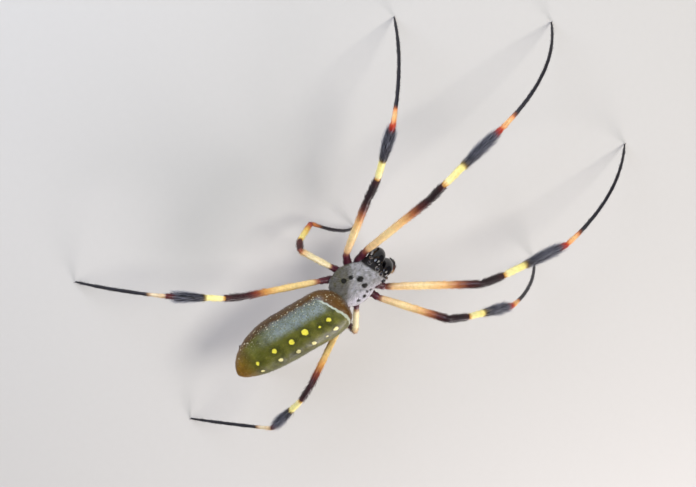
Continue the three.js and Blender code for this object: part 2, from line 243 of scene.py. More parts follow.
@dataclass
class Shell:
    """One closed surface, made of rings of points between two end points.

    The points of a ring run anticlockwise round the way from the first ring to the last.
    """

    name: str
    rings: np.ndarray
    region: Region
    values: dict[str, np.ndarray] = field(default_factory=dict)
    bulge: tuple[float, float] = (0.0, 0.0)

    def ends(self) -> np.ndarray:
        """End points, each pushed outwards from the middle of its ring by its bulge."""
        middles = self.rings.mean(axis=1)
        first = unit(middles[0] - middles[1]) * self.bulge[0] + middles[0]
        last = unit(middles[-1] - middles[-2]) * self.bulge[1] + middles[-1]
        return np.stack([first, last])

    def faces(self) -> list[tuple[int, ...]]:
        """Quads between the rings, and a fan of triangles at each end."""
        count, sides = self.rings.shape[:2]
        pole = count * sides
        found: list[tuple[int, ...]] = []
        for i in range(count - 1):
            here, there = i * sides, (i + 1) * sides
            for j in range(sides):
                k = (j + 1) % sides
                found.append((here + j, here + k, there + k, there + j))
        final = (count - 1) * sides
        found += [(pole, (j + 1) % sides, j) for j in range(sides)]
        found += [(pole + 1, final + j, final + (j + 1) % sides) for j in range(sides)]
        return found

    def girths(self) -> np.ndarray:
        """Length round each ring."""
        edges = np.linalg.norm(self.rings - np.roll(self.rings, 1, axis=1), axis=2)
        return edges.sum(axis=1)

    def unrolled(self, atlas: Atlas) -> np.ndarray:
        """Place on the map of every face corner.

        Args:
            atlas: The map, from which this takes a rectangle.

        Returns:
            Two numbers from 0 to 1 for each corner.
        """
        count, sides = self.rings.shape[:2]
        middles = self.rings.mean(axis=1)
        steps = np.linalg.norm(np.diff(middles, axis=0), axis=1)
        girth = float(self.girths().max())
        cap = 0.5 * float(self.girths()[[0, -1]].max()) / math.pi
        run = np.concatenate([[0.0], np.cumsum(steps)]) + cap
        length = float(run[-1] + cap)
        left, low = atlas.corner(length, girth)
        turn = np.arange(sides + 1) / sides * girth + low
        run = run + left
        found: list[tuple[float, float]] = []
        for i in range(count - 1):
            for j in range(sides):
                found += [
                    (run[i], turn[j]),
                    (run[i], turn[j + 1]),
                    (run[i + 1], turn[j + 1]),
                    (run[i + 1], turn[j]),
                ]
        half = 0.5 * girth / sides
        for j in range(sides):
            found += [(left, turn[j] + half), (run[0], turn[j + 1]), (run[0], turn[j])]
        for j in range(sides):
            found += [
                (left + length, turn[j] + half),
                (run[-1], turn[j]),
                (run[-1], turn[j + 1]),
            ]
        return np.array(found) / atlas.side

    def mesh(self, atlas: Atlas | None = None) -> bpy.types.Object:
        """Blender object of the shell, in metres.

        Args:
            atlas: Map that the shell takes its place on, if it has one.

        Returns:
            The object, linked to the scene.
        """
        sides = self.rings.shape[1]
        points = np.vstack([self.rings.reshape(-1, 3), self.ends()]) * MM
        made = add_mesh(self.name, points, self.faces())
        if atlas is None:
            return made
        layer = made.data.uv_layers.new(name=MAP_NAME)
        layer.uv.foreach_set("vector", self.unrolled(atlas).astype(np.float32).ravel())
        index = [self.region.value] * len(made.data.polygons)
        made.data.polygons.foreach_set("material_index", index)
        for name in POINT_VALUES:
            column = self.values.get(name, np.zeros(len(self.rings)))
            column = column[:, None] if column.ndim == 1 else column
            grid = np.broadcast_to(column, self.rings.shape[:2])
            full = np.concatenate([grid.ravel(), [grid[0].mean(), grid[-1].mean()]])
            store(made.data, name, "FLOAT", full)
        for name in POINT_VECTORS:
            grid = np.broadcast_to(self.values[name], self.rings.shape)
            full = np.vstack([grid.reshape(-1, 3), grid[0].mean(0), grid[-1].mean(0)])
            store(made.data, name, "FLOAT_VECTOR", full)
        LOG.info("shell %s: %d rings of %d points", self.name, len(self.rings), sides)
        return made


def store(mesh: bpy.types.Mesh, name: str, kind: str, values: np.ndarray) -> None:
    """Writes one attribute of a mesh's points.

    Args:
        mesh: The mesh.
        name: Name of the attribute.
        kind: FLOAT or FLOAT_VECTOR.
        values: One row for each point.
    """
    attribute = mesh.attributes.new(name, kind, "POINT")
    part = "value" if kind == "FLOAT" else "vector"
    attribute.data.foreach_set(part, np.ascontiguousarray(values, np.float32).ravel())


def add_mesh(name: str, points: np.ndarray, faces: list[tuple[int, ...]]) -> bpy.types.Object:
    """Smooth mesh object at the origin.

    Args:
        name: Name of the object and of its mesh.
        points: Places in metres.
        faces: Point numbers of each face, anticlockwise from outside.

    Returns:
        The object, linked to the scene.
    """
    mesh = bpy.data.meshes.new(name)
    mesh.from_pydata(points.tolist(), [], faces)
    mesh.polygons.foreach_set("use_smooth", [True] * len(faces))
    return placed(name, mesh)


def joined(name: str, shells: list[Shell]) -> bpy.types.Object:
    """One mesh object of several closed shells that stay apart.

    Args:
        name: Name of the object.
        shells: The shells.

    Returns:
        The object, linked to the scene.
    """
    points: list[np.ndarray] = []
    faces: list[tuple[int, ...]] = []
    offset = 0
    for shell in shells:
        faces += [tuple(offset + corner for corner in face) for face in shell.faces()]
        points.append(np.vstack([shell.rings.reshape(-1, 3), shell.ends()]))
        offset += len(points[-1])
    return add_mesh(name, np.vstack(points) * MM, faces)


def drop(made: bpy.types.Object) -> None:
    """Removes a helper object with its mesh."""
    mesh = made.data
    bpy.data.objects.remove(made)
    bpy.data.meshes.remove(mesh)


def finished(made: bpy.types.Object) -> bpy.types.Mesh:
    """Plain mesh of an object as its modifiers make it."""
    view = bpy.context.evaluated_depsgraph_get()
    return bpy.data.meshes.new_from_object(made.evaluated_get(view))


def frames_along(line: np.ndarray) -> tuple[np.ndarray, np.ndarray, np.ndarray]:
    """Untwisted frames of a line.

    Args:
        line: Points of the line.

    Returns:
        The way along the line, the way across and the way up, for each point.
    """
    ahead = unit(np.gradient(line, axis=0))
    first = UP if abs(ahead[0] @ UP) < 0.95 else np.array([1.0, 0.0, 0.0])
    up = [unit(first - (first @ ahead[0]) * ahead[0])]
    for way in ahead[1:]:
        up.append(unit(up[-1] - (up[-1] @ way) * way))
    above = np.array(up)
    return ahead, np.cross(above, ahead), above


def tube(line: np.ndarray, radii: np.ndarray, sides: int, flat: float = 1.0) -> np.ndarray:
    """Rings of a round tube along a line.

    Args:
        line: Points of its middle line.
        radii: Radius at each point.
        sides: Points in a ring.
        flat: Height of a ring as a share of its width.

    Returns:
        The rings, as an array of rings, sides and three.
    """
    _, across, above = frames_along(line)
    turn = np.arange(sides) / sides * 2 * math.pi
    round_across = np.cos(turn)[None, :, None] * across[:, None, :]
    round_above = np.sin(turn)[None, :, None] * above[:, None, :] * flat
    return line[:, None, :] + radii[:, None, None] * (round_across + round_above)


def ball(
    name: str,
    centre: np.ndarray,
    size: np.ndarray,
    region: Region,
    rings: int,
    sides: int,
) -> Shell:
    """Closed ellipsoid with its poles at front and back.

    Args:
        name: Name of the shell.
        centre: Its middle.
        size: Its three half sizes, sideways, lengthwise and upwards.
        region: Finish that it takes.
        rings: Number of rings.
        sides: Points in a ring.

    Returns:
        The shell.
    """
    tilt = (np.arange(rings) + 0.6) / (rings + 0.2) * math.pi
    turn = np.arange(sides) / sides * 2 * math.pi
    ring = np.stack([np.cos(turn), np.zeros(sides), np.sin(turn)], -1)
    along = np.stack([np.zeros(rings), np.cos(tilt), np.zeros(rings)], -1)
    points = ring[None] * np.sin(tilt)[:, None, None] + along[:, None, :]
    pole = size[1] * (1 - math.cos(0.6 / (rings + 0.2) * math.pi))
    outward = unit(points)
    values = {"place": outward, "lie": np.broadcast_to(-UP, outward.shape)}
    return Shell(name, centre + points * size, region, values, (pole, pole))


@dataclass(frozen=True)
class Eye:
    """Place of an eye from the body's middle, and its radius."""

    out: float
    forward: float
    above: float
    radius: float


@dataclass(frozen=True)
class Groove:
    """Groove of the carapace on both sides, between two places out and forward."""

    start: tuple[float, float]
    end: tuple[float, float]
    depth: float
    width: float

    def cut(self, out: np.ndarray, forward: np.ndarray) -> np.ndarray:
        """Depth of the groove at places out and forward."""
        (a, b), (c, d) = self.start, self.end
        span = (c - a) ** 2 + (d - b) ** 2
        t = np.clip(((out - a) * (c - a) + (forward - b) * (d - b)) / span, 0, 1)
        away = np.hypot(out - a - t * (c - a), forward - b - t * (d - b))
        return self.depth * np.exp(-((away / self.width) ** 2))


@dataclass
class Head:
    """Carapace with its head, the sternum below, eye mounds and mouth plates."""

    stations: tuple[tuple[float, float, float, float], ...] = (
        (-4.3, 1.1, 0.3, 0.8),
        (-3.5, 2.3, 0.7, 1.5),
        (-2.2, 3.2, 1.15, 1.9),
        (-0.7, 3.45, 1.35, 2.0),
        (0.8, 3.1, 1.45, 1.95),
        (2.2, 2.4, 1.75, 1.7),
        (3.3, 2.45, 1.8, 1.2),
        (4.0, 2.5, 1.6, 0.7),
        (4.3, 2.2, 1.2, 0.4),
    )
    inset: float = 0.97
    rings: int = 84
    sides: int = 112
    bald_spots: tuple[tuple[float, float, float], ...] = (
        (0.64, 0.74, 0.5),
        (-0.64, 0.7, 0.46),
        (1.62, -0.25, 0.38),
        (1.8, -1.45, 0.42),
        (-1.85, 0.5, 0.22),
        (-2.0, 1.1, 0.2),
        (-2.33, -0.25, 0.3),
        (-2.4, -1.4, 0.3),
    )
    eyes: dict[str, Eye] = field(
        default_factory=lambda: {
            "front_middle": Eye(0.46, 4.15, 0.95, 0.28),
            "rear_middle": Eye(0.5, 3.85, 1.75, 0.28),
            "front_side": Eye(2.12, 4.0, 0.6, 0.25),
            "rear_side": Eye(1.98, 3.45, 1.2, 0.25),
        }
    )
    plate_place: tuple[float, float, float] = (0.62, 2.7, -1.75)
    plate_size: tuple[float, float, float] = (0.48, 0.92, 0.4)
    lip_back: float = 0.85
    lip_above: float = 0.02
    lip_size: tuple[float, float, float] = (0.5, 0.5, 0.3)
    mound: float = 1.3
    mound_sink: float = 0.5
    mound_color: float = 4.6
    overhang: float = 0.22
    felt_front: float = 3.5
    # The left slope is the steeper one: the felt ends further back on the left, and the bare dark head
    # there is painted shade of the first left leg.
    front_slopes: tuple[float, float] = (-0.5, -0.12)
    grooves: tuple[Groove, ...] = (
        Groove((2.3, 1.55), (0.45, -0.55), 0.17, 0.2),
        Groove((2.9, 0.1), (0.6, -0.8), 0.07, 0.16),
        Groove((2.8, -1.5), (0.6, -1.0), 0.07, 0.16),
        Groove((1.5, -3.0), (0.3, -1.3), 0.06, 0.16),
    )
    dent_depth: float = 0.22
    dent_back: float = 1.0
    dent_half: tuple[float, float] = (0.42, 0.3)
    dome_height: float = 0.12
    dome_forward: float = 2.6
    dome_half: tuple[float, float] = (1.3, 1.5)
    raised_spots: int = 2
    spot_height: float = 0.16
    spot_share: float = 0.7
    face_depth: float = 0.28
    face_steps: tuple[float, ...] = (0.3, 0.62, 0.9)
    face_core: float = 0.25
    rim_width: float = 0.13
    rim_front: float = 3.4
    rim_swell: float = 0.035
    unevenness: float = 0.018

    def relief(self, left: np.ndarray, forward: np.ndarray) -> np.ndarray:
        """Height of the carapace's own relief over its smooth dome.

        Args:
            left: Places across.
            forward: Places along.

        Returns:
            Heights in millimetres, below zero in a groove.
        """
        out = np.abs(left)
        height = np.zeros(out.shape)
        for groove in self.grooves:
            height -= groove.cut(out, forward)
        wide, long = self.dent_half
        dent = np.exp(-((left / wide) ** 2) - ((forward + self.dent_back) / long) ** 2)
        height -= self.dent_depth * dent
        wide, long = self.dome_half
        dome = np.hypot(left / wide, (forward - self.dome_forward) / long)
        height += self.dome_height * np.exp(-(dome**2))
        for spot_left, spot_forward, radius in self.bald_spots[: self.raised_spots]:
            away = np.hypot(left - spot_left, forward - spot_forward)
            height += self.spot_height * np.exp(-((away / (self.spot_share * radius)) ** 2))
        return height

    def shell(self) -> Shell:
        """Closed surface of the head and chest."""
        first, last = self.stations[0][0], self.stations[-1][0]
        share = (np.arange(self.rings) + 0.4) / (self.rings - 0.2)
        forward = first + (last - first) * (0.5 - 0.5 * np.cos(math.pi * share))
        half, crown, belly = through(list(self.stations), forward).T * self.inset
        eased = np.array(self.face_steps) * math.pi / 2
        shrink = self.face_core + (1 - self.face_core) * np.cos(eased)
        forward = np.concatenate([forward, forward[-1] + self.face_depth * np.sin(eased)])
        half, crown, belly = (np.concatenate([row, row[-1] * shrink]) for row in (half, crown, belly))
        turn = np.arange(self.sides) / self.sides * 2 * math.pi
        rise = np.sin(turn)[None]
        left = half[:, None] * np.cos(turn)[None]
        above = np.where(rise > 0, crown[:, None], belly[:, None]) * rise
        lengthwise = np.broadcast_to(forward[:, None], left.shape)
        above = above + self.relief(left, lengthwise) * step(rise, 0.05, 0.5)
        rim = np.exp(-((rise / self.rim_width) ** 2)) * (np.abs(lengthwise) < self.rim_front)
        left = left * (1 + self.rim_swell * rim)
        points = STANCE.place(left, lengthwise, above)
        outward = unit(points - points.mean(axis=1, keepdims=True))
        points = points + self.unevenness * ripple(points, 0.5, SEED)[..., None] * outward
        values = self.coat(points, left, lengthwise, np.broadcast_to(rise, left.shape))
        values["place"] = np.stack([left, -lengthwise, above], -1)
        return Shell("head", points, Region.CARAPACE, values, (0.2, 0.02))

    def coat(
        self, points: np.ndarray, left: np.ndarray, forward: np.ndarray, rise: np.ndarray
    ) -> dict[str, np.ndarray]:
        """What the felt and the short hairs need to know.

        Args:
            points: Places in the row frame.
            left: Places across.
            forward: Places along.
            rise: Height round each ring, from -1 to 1.

        Returns:
            The hair's lie, masks and length, for each point.
        """
        corner = step(np.abs(left), 1.2, 2.1) * step(forward, 2.2, 3.3)
        outward = np.sign(left) * (0.35 + 0.7 * corner) + 0.12 * left
        flow = np.stack([outward, 1 - 1.25 * corner, 0.1 * corner], -1)
        bare = np.zeros(left.shape)
        for spot_left, spot_forward, radius in self.bald_spots:
            ahead = forward - spot_forward
            ahead = np.where(ahead > 0, np.maximum(ahead - self.overhang, 0), ahead)
            away = np.hypot(left - spot_left, ahead)
            bare = np.maximum(bare, 1 - step(away, 0.85 * radius, 1.15 * radius))
        patchy = 0.6 + 0.4 * np.clip(ripple(points, 0.45, SEED + 3), -1, 1)
        # The felt ends in front of the eyes; on the left it ends further back, leaving painted shade of
        # the first left leg.
        limit = self.felt_front + np.minimum(*(left * slope for slope in self.front_slopes))
        felt = step(rise, 0.02, 0.16) * (1 - bare) * step(limit - forward, -0.15, 0.25)
        hair = 0.35 * (1 - step(rise, -0.2, 0.1))
        reach = 1 + 1.1 * corner
        return {"lie": unit(flow), "felt": felt * patchy, "hair": hair, "reach": reach}

    def mounds(self) -> list[Shell]:
        """Raised rim under each eye."""
        made = []
        for name, eye in self.eyes.items():
            for side in (LEFT, RIGHT):
                centre = self.eye_centre(eye, side, self.mound_sink)
                size = np.full(3, eye.radius * self.mound)
                label = f"mound_{name}_{SIDE_NAMES[side]}"
                mound = ball(label, centre, size, Region.PALP, 9, 16)
                mound.values["along"] = np.full(9, self.mound_color)
                made.append(mound)
        return made

    def eye_centre(self, eye: Eye, side: int, sink: float = 0.0) -> np.ndarray:
        """Middle of an eye, or a place below it.

        Args:
            eye: The eye.
            side: LEFT or RIGHT.
            sink: Depth towards the head's middle, in radii.

        Returns:
            The point.
        """
        centre = STANCE.place(side * eye.out, eye.forward, eye.above)
        inner = STANCE.place(side * eye.out * 0.5, eye.forward - 2.0, 0.0)
        return centre + unit(inner - centre) * eye.radius * sink

    def mouth(self) -> list[Shell]:
        """Two plates beside the mouth and the lip between them."""
        out, forward, above = self.plate_place
        size = np.array(self.plate_size)
        made = []
        for side in (LEFT, RIGHT):
            centre = STANCE.place(side * out, forward, above)
            plate = ball(f"plate_{SIDE_NAMES[side]}", centre, size, Region.PALP, 12, 20)
            plate.values["along"] = np.linspace(0.6, 1.4, 12)
            made.append(plate)
        lip = STANCE.place(0.0, forward - self.lip_back, above + self.lip_above)
        made.append(ball("lip", lip, np.array(self.lip_size), Region.PALP, 9, 16))
        return made


@dataclass
class Abdomen:
    """Long abdomen, with its waist and spinnerets."""

    length: float = 19.6
    radius: float = 3.86
    front_back: float = 2.8
    front_above: float = 3.0
    droop: float = 9.9
    lean: float = 6.0
    shoulder: tuple[float, float] = (5.0, 2.4)
    tail: tuple[float, float] = (8.5, 2.0)
    lift: float = 0.65
    inset: float = 0.985
    rings: int = 120
    sides: int = 128
    spots: tuple[tuple[float, float, float], ...] = (
        (3.07, 16.0, 0.36), (4.8, 12.0, 0.2), (7.15, 18.0, 0.47),
        (9.67, 14.0, 0.41), (12.6, 16.0, 0.38), (15.85, 10.0, 0.3),
        (2.98, -16.0, 0.36), (4.8, -22.0, 0.2), (7.02, -20.0, 0.37),
        (9.67, -18.0, 0.37), (12.6, -13.0, 0.35), (15.95, -22.0, 0.3),
    )
    band_front: float = 0.68
    band_bend: float = 0.00034
    band_middle: float = -15.0
    nozzle_from_tail: float = 2.6
    nozzle_spread: float = 0.62
    nozzle_radius: float = 0.4
    nozzle_length: float = 1.45
    nozzle_sink: float = 0.8
    nozzle_root_out: float = 0.5
    nozzle_tip_out: float = 0.62
    nozzle_splay: float = 1.3
    nozzle_slant: float = 0.5
    nozzle_rows: tuple[tuple[int, float], ...] = ((-1, 1.0), (0, 0.72), (1, 1.0))
    nozzle_profile: tuple[tuple[float, float], ...] = (
        (0.0, 1.0), (0.45, 0.95), (0.62, 0.78), (0.7, 0.84), (0.9, 0.66), (1.0, 0.4),
    )
    waist_radius: float = 0.58
    waist_root: tuple[float, float] = (-3.2, -0.1)
    waist_length: float = 3.2
    waist_rise: float = 30.0

    def radius_at(self, distance: np.ndarray) -> np.ndarray:
        """Radius of the abdomen at distances from its front end."""
        made = np.full(np.shape(distance), self.radius)
        for (span, power), far in ((self.shoulder, distance), (self.tail, self.length - distance)):
            short = np.clip(1 - far / span, 0, 1)
            made = made * (1 - short**power) ** (1 / power)
        return made

    def point(self, distance: np.ndarray, left: np.ndarray, above: np.ndarray) -> np.ndarray:
        """Row frame point of a place in the abdomen's own frame.

        Args:
            distance: Towards the tail, from the front end.
            left: Towards the spider's left.
            above: Over the middle line.

        Returns:
            The points in millimetres.
        """
        droop = math.radians(self.droop)
        back = self.front_back + distance * math.cos(droop) + above * math.sin(droop)
        high = self.front_above - distance * math.sin(droop) + above * math.cos(droop)
        return STANCE.place(left, -back, high, self.lean)

    def shell(self) -> Shell:
        """Closed surface of the abdomen, with faint folds and dimples."""
        share = (np.arange(self.rings) + 0.35) / (self.rings - 0.3)
        distance = self.length * (0.5 + 0.5 * np.cos(math.pi * share))
        radius = self.radius_at(distance) * self.inset
        lift = self.lift * (self.radius - radius)
        turn = np.arange(self.sides) / self.sides * 2 * math.pi
        around = np.degrees(np.arctan2(np.cos(turn), np.sin(turn)))[None]
        run = np.broadcast_to(distance[:, None], (self.rings, self.sides))
        relief = self.relief(run, np.broadcast_to(around, run.shape))
        ring_radius = radius[:, None] + relief * (radius[:, None] / self.radius)
        left = ring_radius * np.cos(turn)[None]
        above = lift[:, None] + ring_radius * np.sin(turn)[None]
        points = self.point(run, left, above)
        place = np.stack([left, run, ring_radius * np.sin(turn)[None]], -1)
        droop = math.radians(self.droop)
        lie = np.array([0.0, math.cos(droop), -math.sin(droop)])
        values = {"place": place, "lie": np.broadcast_to(lie, points.shape)}
        values["down"] = np.full(run.shape, 1.0)
        values["reach"] = np.ones(run.shape)
        return Shell("abdomen", points, Region.ABDOMEN, values, (0.03, 0.03))

    def relief(self, run: np.ndarray, around: np.ndarray) -> np.ndarray:
        """Folds, dimples and raised spots of the abdomen.

        Args:
            run: Distances from the front end.
            around: Degrees from its back, positive to the left.

        Returns:
            Heights in millimetres.
        """
        folds = np.sin(run * 4.1 + 0.4 * np.sin(around / 21)) * 0.012
        folds += 0.05 * np.sin(run * 9.0) * step(run, 16.5, 19.0)
        flank = np.exp(-(((np.abs(around) - 100) / 26) ** 2))
        folds += 0.03 * np.sin(run * 2.6 + around / 30) * flank
        for spot, turn, radius in self.spots:
            across = (around - turn) * math.pi / 180 * self.radius
            away = np.hypot(run - spot, across) / radius
            folds += 0.035 * np.exp(-(away**4)) - 0.02 * np.exp(-(((away - 1.2) / 0.2) ** 2))
        place = np.stack([run, around / 15, np.sin(np.radians(around)) * 4], -1)
        return folds + 0.015 * ripple(place, 1.3, SEED + 1)

    def waist(self) -> Shell:
        """Short stalk between the chest and the abdomen."""
        root = STANCE.place(0.0, *self.waist_root)
        tip = root + direction(LEFT, 180, self.waist_rise) * self.waist_length
        line = root + np.linspace(0, 1, 12)[:, None] * (tip - root)
        rings = tube(line, np.full(len(line), self.waist_radius), 24)
        values = {"place": rings * 0.0, "lie": np.broadcast_to(-UP, rings.shape)}
        return Shell("waist", rings, Region.CARAPACE, values)

    def nozzles(self) -> list[Shell]:
        """Six blunt spinnerets under the tail, each with a narrower end joint."""
        distance = self.length - self.nozzle_from_tail
        deep = float(self.radius_at(np.array(distance)))
        underside = self.lift * self.radius - (1 + self.lift) * deep
        made = []
        for row, share in self.nozzle_rows:
            for side in (LEFT, RIGHT):
                root = self.point(
                    distance + row * self.nozzle_spread,
                    side * self.nozzle_spread * self.nozzle_root_out,
                    underside + self.nozzle_sink,
                )
                tip = self.point(
                    distance + row * self.nozzle_spread * self.nozzle_splay + self.nozzle_slant,
                    side * self.nozzle_spread * self.nozzle_tip_out,
                    underside - self.nozzle_length * share,
                )
                t = np.linspace(0, 1, 18)
                line = root + t[:, None] * (tip - root)
                radii = through(list(self.nozzle_profile), t)[:, 0] * self.nozzle_radius
                rings = tube(line, radii, 18)
                way = np.broadcast_to(unit(tip - root), rings.shape)
                values = {"place": rings - root, "lie": way, "along": t * 5}
                values["hair"] = np.where(t > 0.5, 1.6, 0.0)
                values["reach"] = np.full(len(t), 0.8)
                label = f"spinneret_{row + 2}_{SIDE_NAMES[side]}"
                made.append(Shell(label, rings, Region.SPINNERET, values, (0.0, 0.08)))
        return made


@dataclass(frozen=True)
class PairSizes:
    """Sizes that the two legs of a pair share."""

    forward: float
    out: float
    femur: float
    patella: float
    tibia: float
    foot: float
    girth: float
    brush: bool
    region: Region


PAIRS = {
    1: PairSizes(1.3, 1.7, 14.8, 4.0, 12.6, 22.0, 1.0, True, Region.FRONT_LEG),
    2: PairSizes(0.2, 2.0, 12.2, 3.7, 10.2, 19.0, 0.96, True, Region.FRONT_LEG),
    3: PairSizes(-1.0, 2.0, 7.0, 2.6, 5.2, 10.6, 0.8, False, Region.THIRD_LEG),
    4: PairSizes(-2.2, 1.7, 13.0, 3.3, 9.0, 16.4, 0.84, True, Region.HIND_LEG),
}


@dataclass(frozen=True)
class LegPose:
    """Heading and rise of each length of a leg, the foot's heading and its bow."""

    coxa: tuple[float, float]
    femur: tuple[float, float]
    patella: tuple[float, float]
    tibia: tuple[float, float]
    foot: float
    bow: float


POSES = {
    (LEFT, 1): LegPose((37, 18), (24, 25), (37, 29), (-4, -20), 5, 3.0),
    (LEFT, 2): LegPose((71, 11), (51, 21), (36, 3), (51, 12), 27, 1.2),
    (LEFT, 3): LegPose((107, 15), (108, 12), (170, -107), (-30, -53), -58, 1.5),
    (LEFT, 4): LegPose((143, 8), (142, 13), (137, 12), (136, -1), 163, 0.3),
    (RIGHT, 1): LegPose((53, 11), (22, 28), (28, -13), (24, -15), 0, 2.4),
    (RIGHT, 2): LegPose((64, 32), (27, 52), (43, -12), (45, -23), 44, 1.1),
    (RIGHT, 3): LegPose((119, 2), (112, -25), (150, -84), (176, -15), 178, 0.3),
    (RIGHT, 4): LegPose((133, 14), (173, 37), (143, -15), (146, -27), 186, 0.1),
}

HIP_ABOVE = -1.3
HIP_REACH = 3.0
TOE_RISE = 0.125
BRUSH_SPAN = (3.35, 3.88)
FLOOR_GAP = 0.004

LEG_PROFILE = (
    (0.0, 0.5), (0.35, 0.72), (0.58, 0.68), (0.68, 0.56), (0.72, 0.55), (0.83, 0.62),
    (0.93, 0.56), (1.0, 0.45), (1.015, 0.47), (1.05, 0.55), (1.35, 0.625), (1.7, 0.57),
    (1.93, 0.55), (1.98, 0.51), (2.0, 0.43), (2.03, 0.48), (2.2, 0.545), (2.75, 0.545),
    (2.95, 0.5), (3.0, 0.42), (3.03, 0.47), (3.09, 0.53), (3.35, 0.545), (3.88, 0.51),
    (3.97, 0.47), (4.0, 0.36), (4.012, 0.37), (4.03, 0.38), (4.12, 0.32), (4.3, 0.275),
    (4.7, 0.245), (4.765, 0.24), (4.775, 0.21), (4.785, 0.225), (4.93, 0.19), (5.0, 0.13),
)

HAIR_ALONG = (
    (0.0, 1.0), (0.9, 1.0), (1.0, 0.4), (1.6, 0.45), (1.8, 1.4), (2.0, 2.2), (2.95, 2.0),
    (3.05, 0.45), (3.3, 0.5), (3.36, 1.2), (3.88, 1.2), (3.92, 1.6), (4.1, 0.9), (4.3, 1.4),
    (5.0, 1.6),
)
REACH_ALONG = ((1.0, 0.8), (1.8, 1.25), (2.6, 1.2), (4.0, 0.9), (4.3, 0.8))
HAIR_CLEARANCE = (0.5, 0.9)
FOOT_BEND_START = 4.3
BOW_SHORTENING = 2.67
CLAWS = {"left": (0.055, 0.34), "right": (-0.055, 0.34), "middle": (0.0, 0.2)}
CLAW_RADIUS = 0.03
CLAW_GAP = 0.002


@dataclass
class Leg:
    """One leg, from the hip inside the body to the toe on the floor."""

    side: int
    number: int
    sides: int = 22
    spacing: float = 0.05
    rounding: float = 0.28
    inset: float = 0.97
    ring_counts: tuple[int, ...] = (14, 40, 16, 40, 56)

    @property
    def name(self) -> str:
        """Side and number, as the CAD nodes have them."""
        return f"{SIDE_NAMES[self.side]}_{self.number}"

    @property
    def pair(self) -> PairSizes:
        """Sizes of the leg's pair."""
        return PAIRS[self.number]

    def joints(self) -> np.ndarray:
        """Hip, trochanter, knee, shin top, ankle and toe, in millimetres."""
        pair, pose = self.pair, POSES[self.side, self.number]
        found = [STANCE.place(self.side * pair.out, pair.forward, HIP_ABOVE)]
        lengths = (HIP_REACH, pair.femur, pair.patella, pair.tibia)
        ways = (pose.coxa, pose.femur, pose.patella, pose.tibia)
        for length, way in zip(lengths, ways):
            found.append(found[-1] + length * direction(self.side, *way))
        ankle = found[-1]
        straight = pair.foot * (1 - BOW_SHORTENING * (pose.bow / pair.foot) ** 2)
        reach = math.sqrt(straight**2 - ankle[2] ** 2)
        toe = ankle + reach * direction(self.side, pose.foot, 0)
        found.append(np.array([toe[0], toe[1], TOE_RISE]))
        return np.array(found)

    def foot_curve(self, share: np.ndarray) -> np.ndarray:
        """Bowed line of the foot, at shares of its length."""
        ankle, toe = self.joints()[-2:]
        chord = unit(toe - ankle)
        arch = unit(UP - (UP @ chord) * chord)
        top = (ankle + toe) / 2 + arch * 2 * POSES[self.side, self.number].bow
        t = share[:, None]
        return (1 - t) ** 2 * ankle + 2 * t * (1 - t) * top + t**2 * toe

    def line(self, along: np.ndarray) -> np.ndarray:
        """Middle line with its bends rounded off.

        Args:
            along: Places from 0 at the hip to 5 at the toe, whole at each joint.

        Returns:
            Points in millimetres.
        """
        joints = self.joints()
        fine = np.linspace(0, 1, 240)
        path = [a + fine[:-1, None] * (b - a) for a, b in zip(joints[:-2], joints[1:-1])]
        path.append(self.foot_curve(fine))
        marks = np.concatenate([[i] * (len(p) - 1) + [i] for i, p in enumerate(path)])
        places = marks + np.concatenate([fine[:-1]] * 4 + [fine])
        points = np.vstack(path)
        gone = np.concatenate([[0], np.cumsum(np.linalg.norm(np.diff(points, axis=0), axis=1))])
        even = np.arange(0, gone[-1], self.spacing)
        even_points = np.stack([np.interp(even, gone, points[:, k]) for k in range(3)], -1)
        width = int(3 * self.rounding / self.spacing)
        bell = np.exp(-0.5 * (np.arange(-width, width + 1) * self.spacing / self.rounding) ** 2)
        before = 2 * even_points[0] - even_points[width:0:-1]
        after = 2 * even_points[-1] - even_points[-2 : -width - 2 : -1]
        padded = np.vstack([before, even_points, after])
        soft = np.stack(
            [np.convolve(padded[:, k], bell / bell.sum(), "valid") for k in range(3)], -1
        )
        wanted = np.interp(along, places, gone)
        return np.stack([np.interp(wanted, even, soft[:, k]) for k in range(3)], -1)

    def places(self) -> np.ndarray:
        """Where the rings are, closer together beside each joint."""
        found = []
        for i, count in enumerate(self.ring_counts):
            t = (np.arange(count) + 0.5) / count
            eased = 0.5 - 0.5 * np.cos(math.pi * t)
            found.append(i + 0.45 * t + 0.55 * eased)
        return np.concatenate(found)

    def shell(self) -> Shell:
        """Closed surface of the leg, with what its coat needs to know."""
        along = self.places()
        line = self.line(along)
        slim = np.where(along > FOOT_BEND_START, 1.0, self.pair.girth)
        radii = reading(LEG_PROFILE, along) * slim * self.inset
        rings = tube(line, radii, self.sides)
        middle = line[:, None, :]
        outward = unit(rings - middle)
        rings = rings + outward * (0.012 * ripple(rings, 0.8, SEED + self.number))[..., None]
        ahead = frames_along(line)[0]
        rings[..., 2] = np.maximum(rings[..., 2], FLOOR_GAP)
        start, end = BRUSH_SPAN
        brush = np.where((along > start) & (along < end), 1.0, 0.0) * self.pair.brush
        swell = step(along, start, start + 0.2) * (1 - 0.75 * step(along, end - 0.17, end))
        hair = np.where(brush > 0, 0.0, reading(HAIR_ALONG, along))
        short = reading(REACH_ALONG, along)
        reach = np.where(brush > 0, 0.5 + 0.5 * swell, short)
        hair = hair[:, None] * step(rings[..., 2], *HAIR_CLEARANCE)
        place = (rings - middle) + np.array([0.0, 1.0, 0.0]) * (along * 5)[:, None, None]
        values = {"place": place, "lie": np.broadcast_to(ahead[:, None, :], rings.shape)}
        values |= {"along": along, "brush": brush, "hair": hair, "reach": reach}
        return Shell(f"leg_{self.name}", rings, self.pair.region, values, (0.1, 0.05))

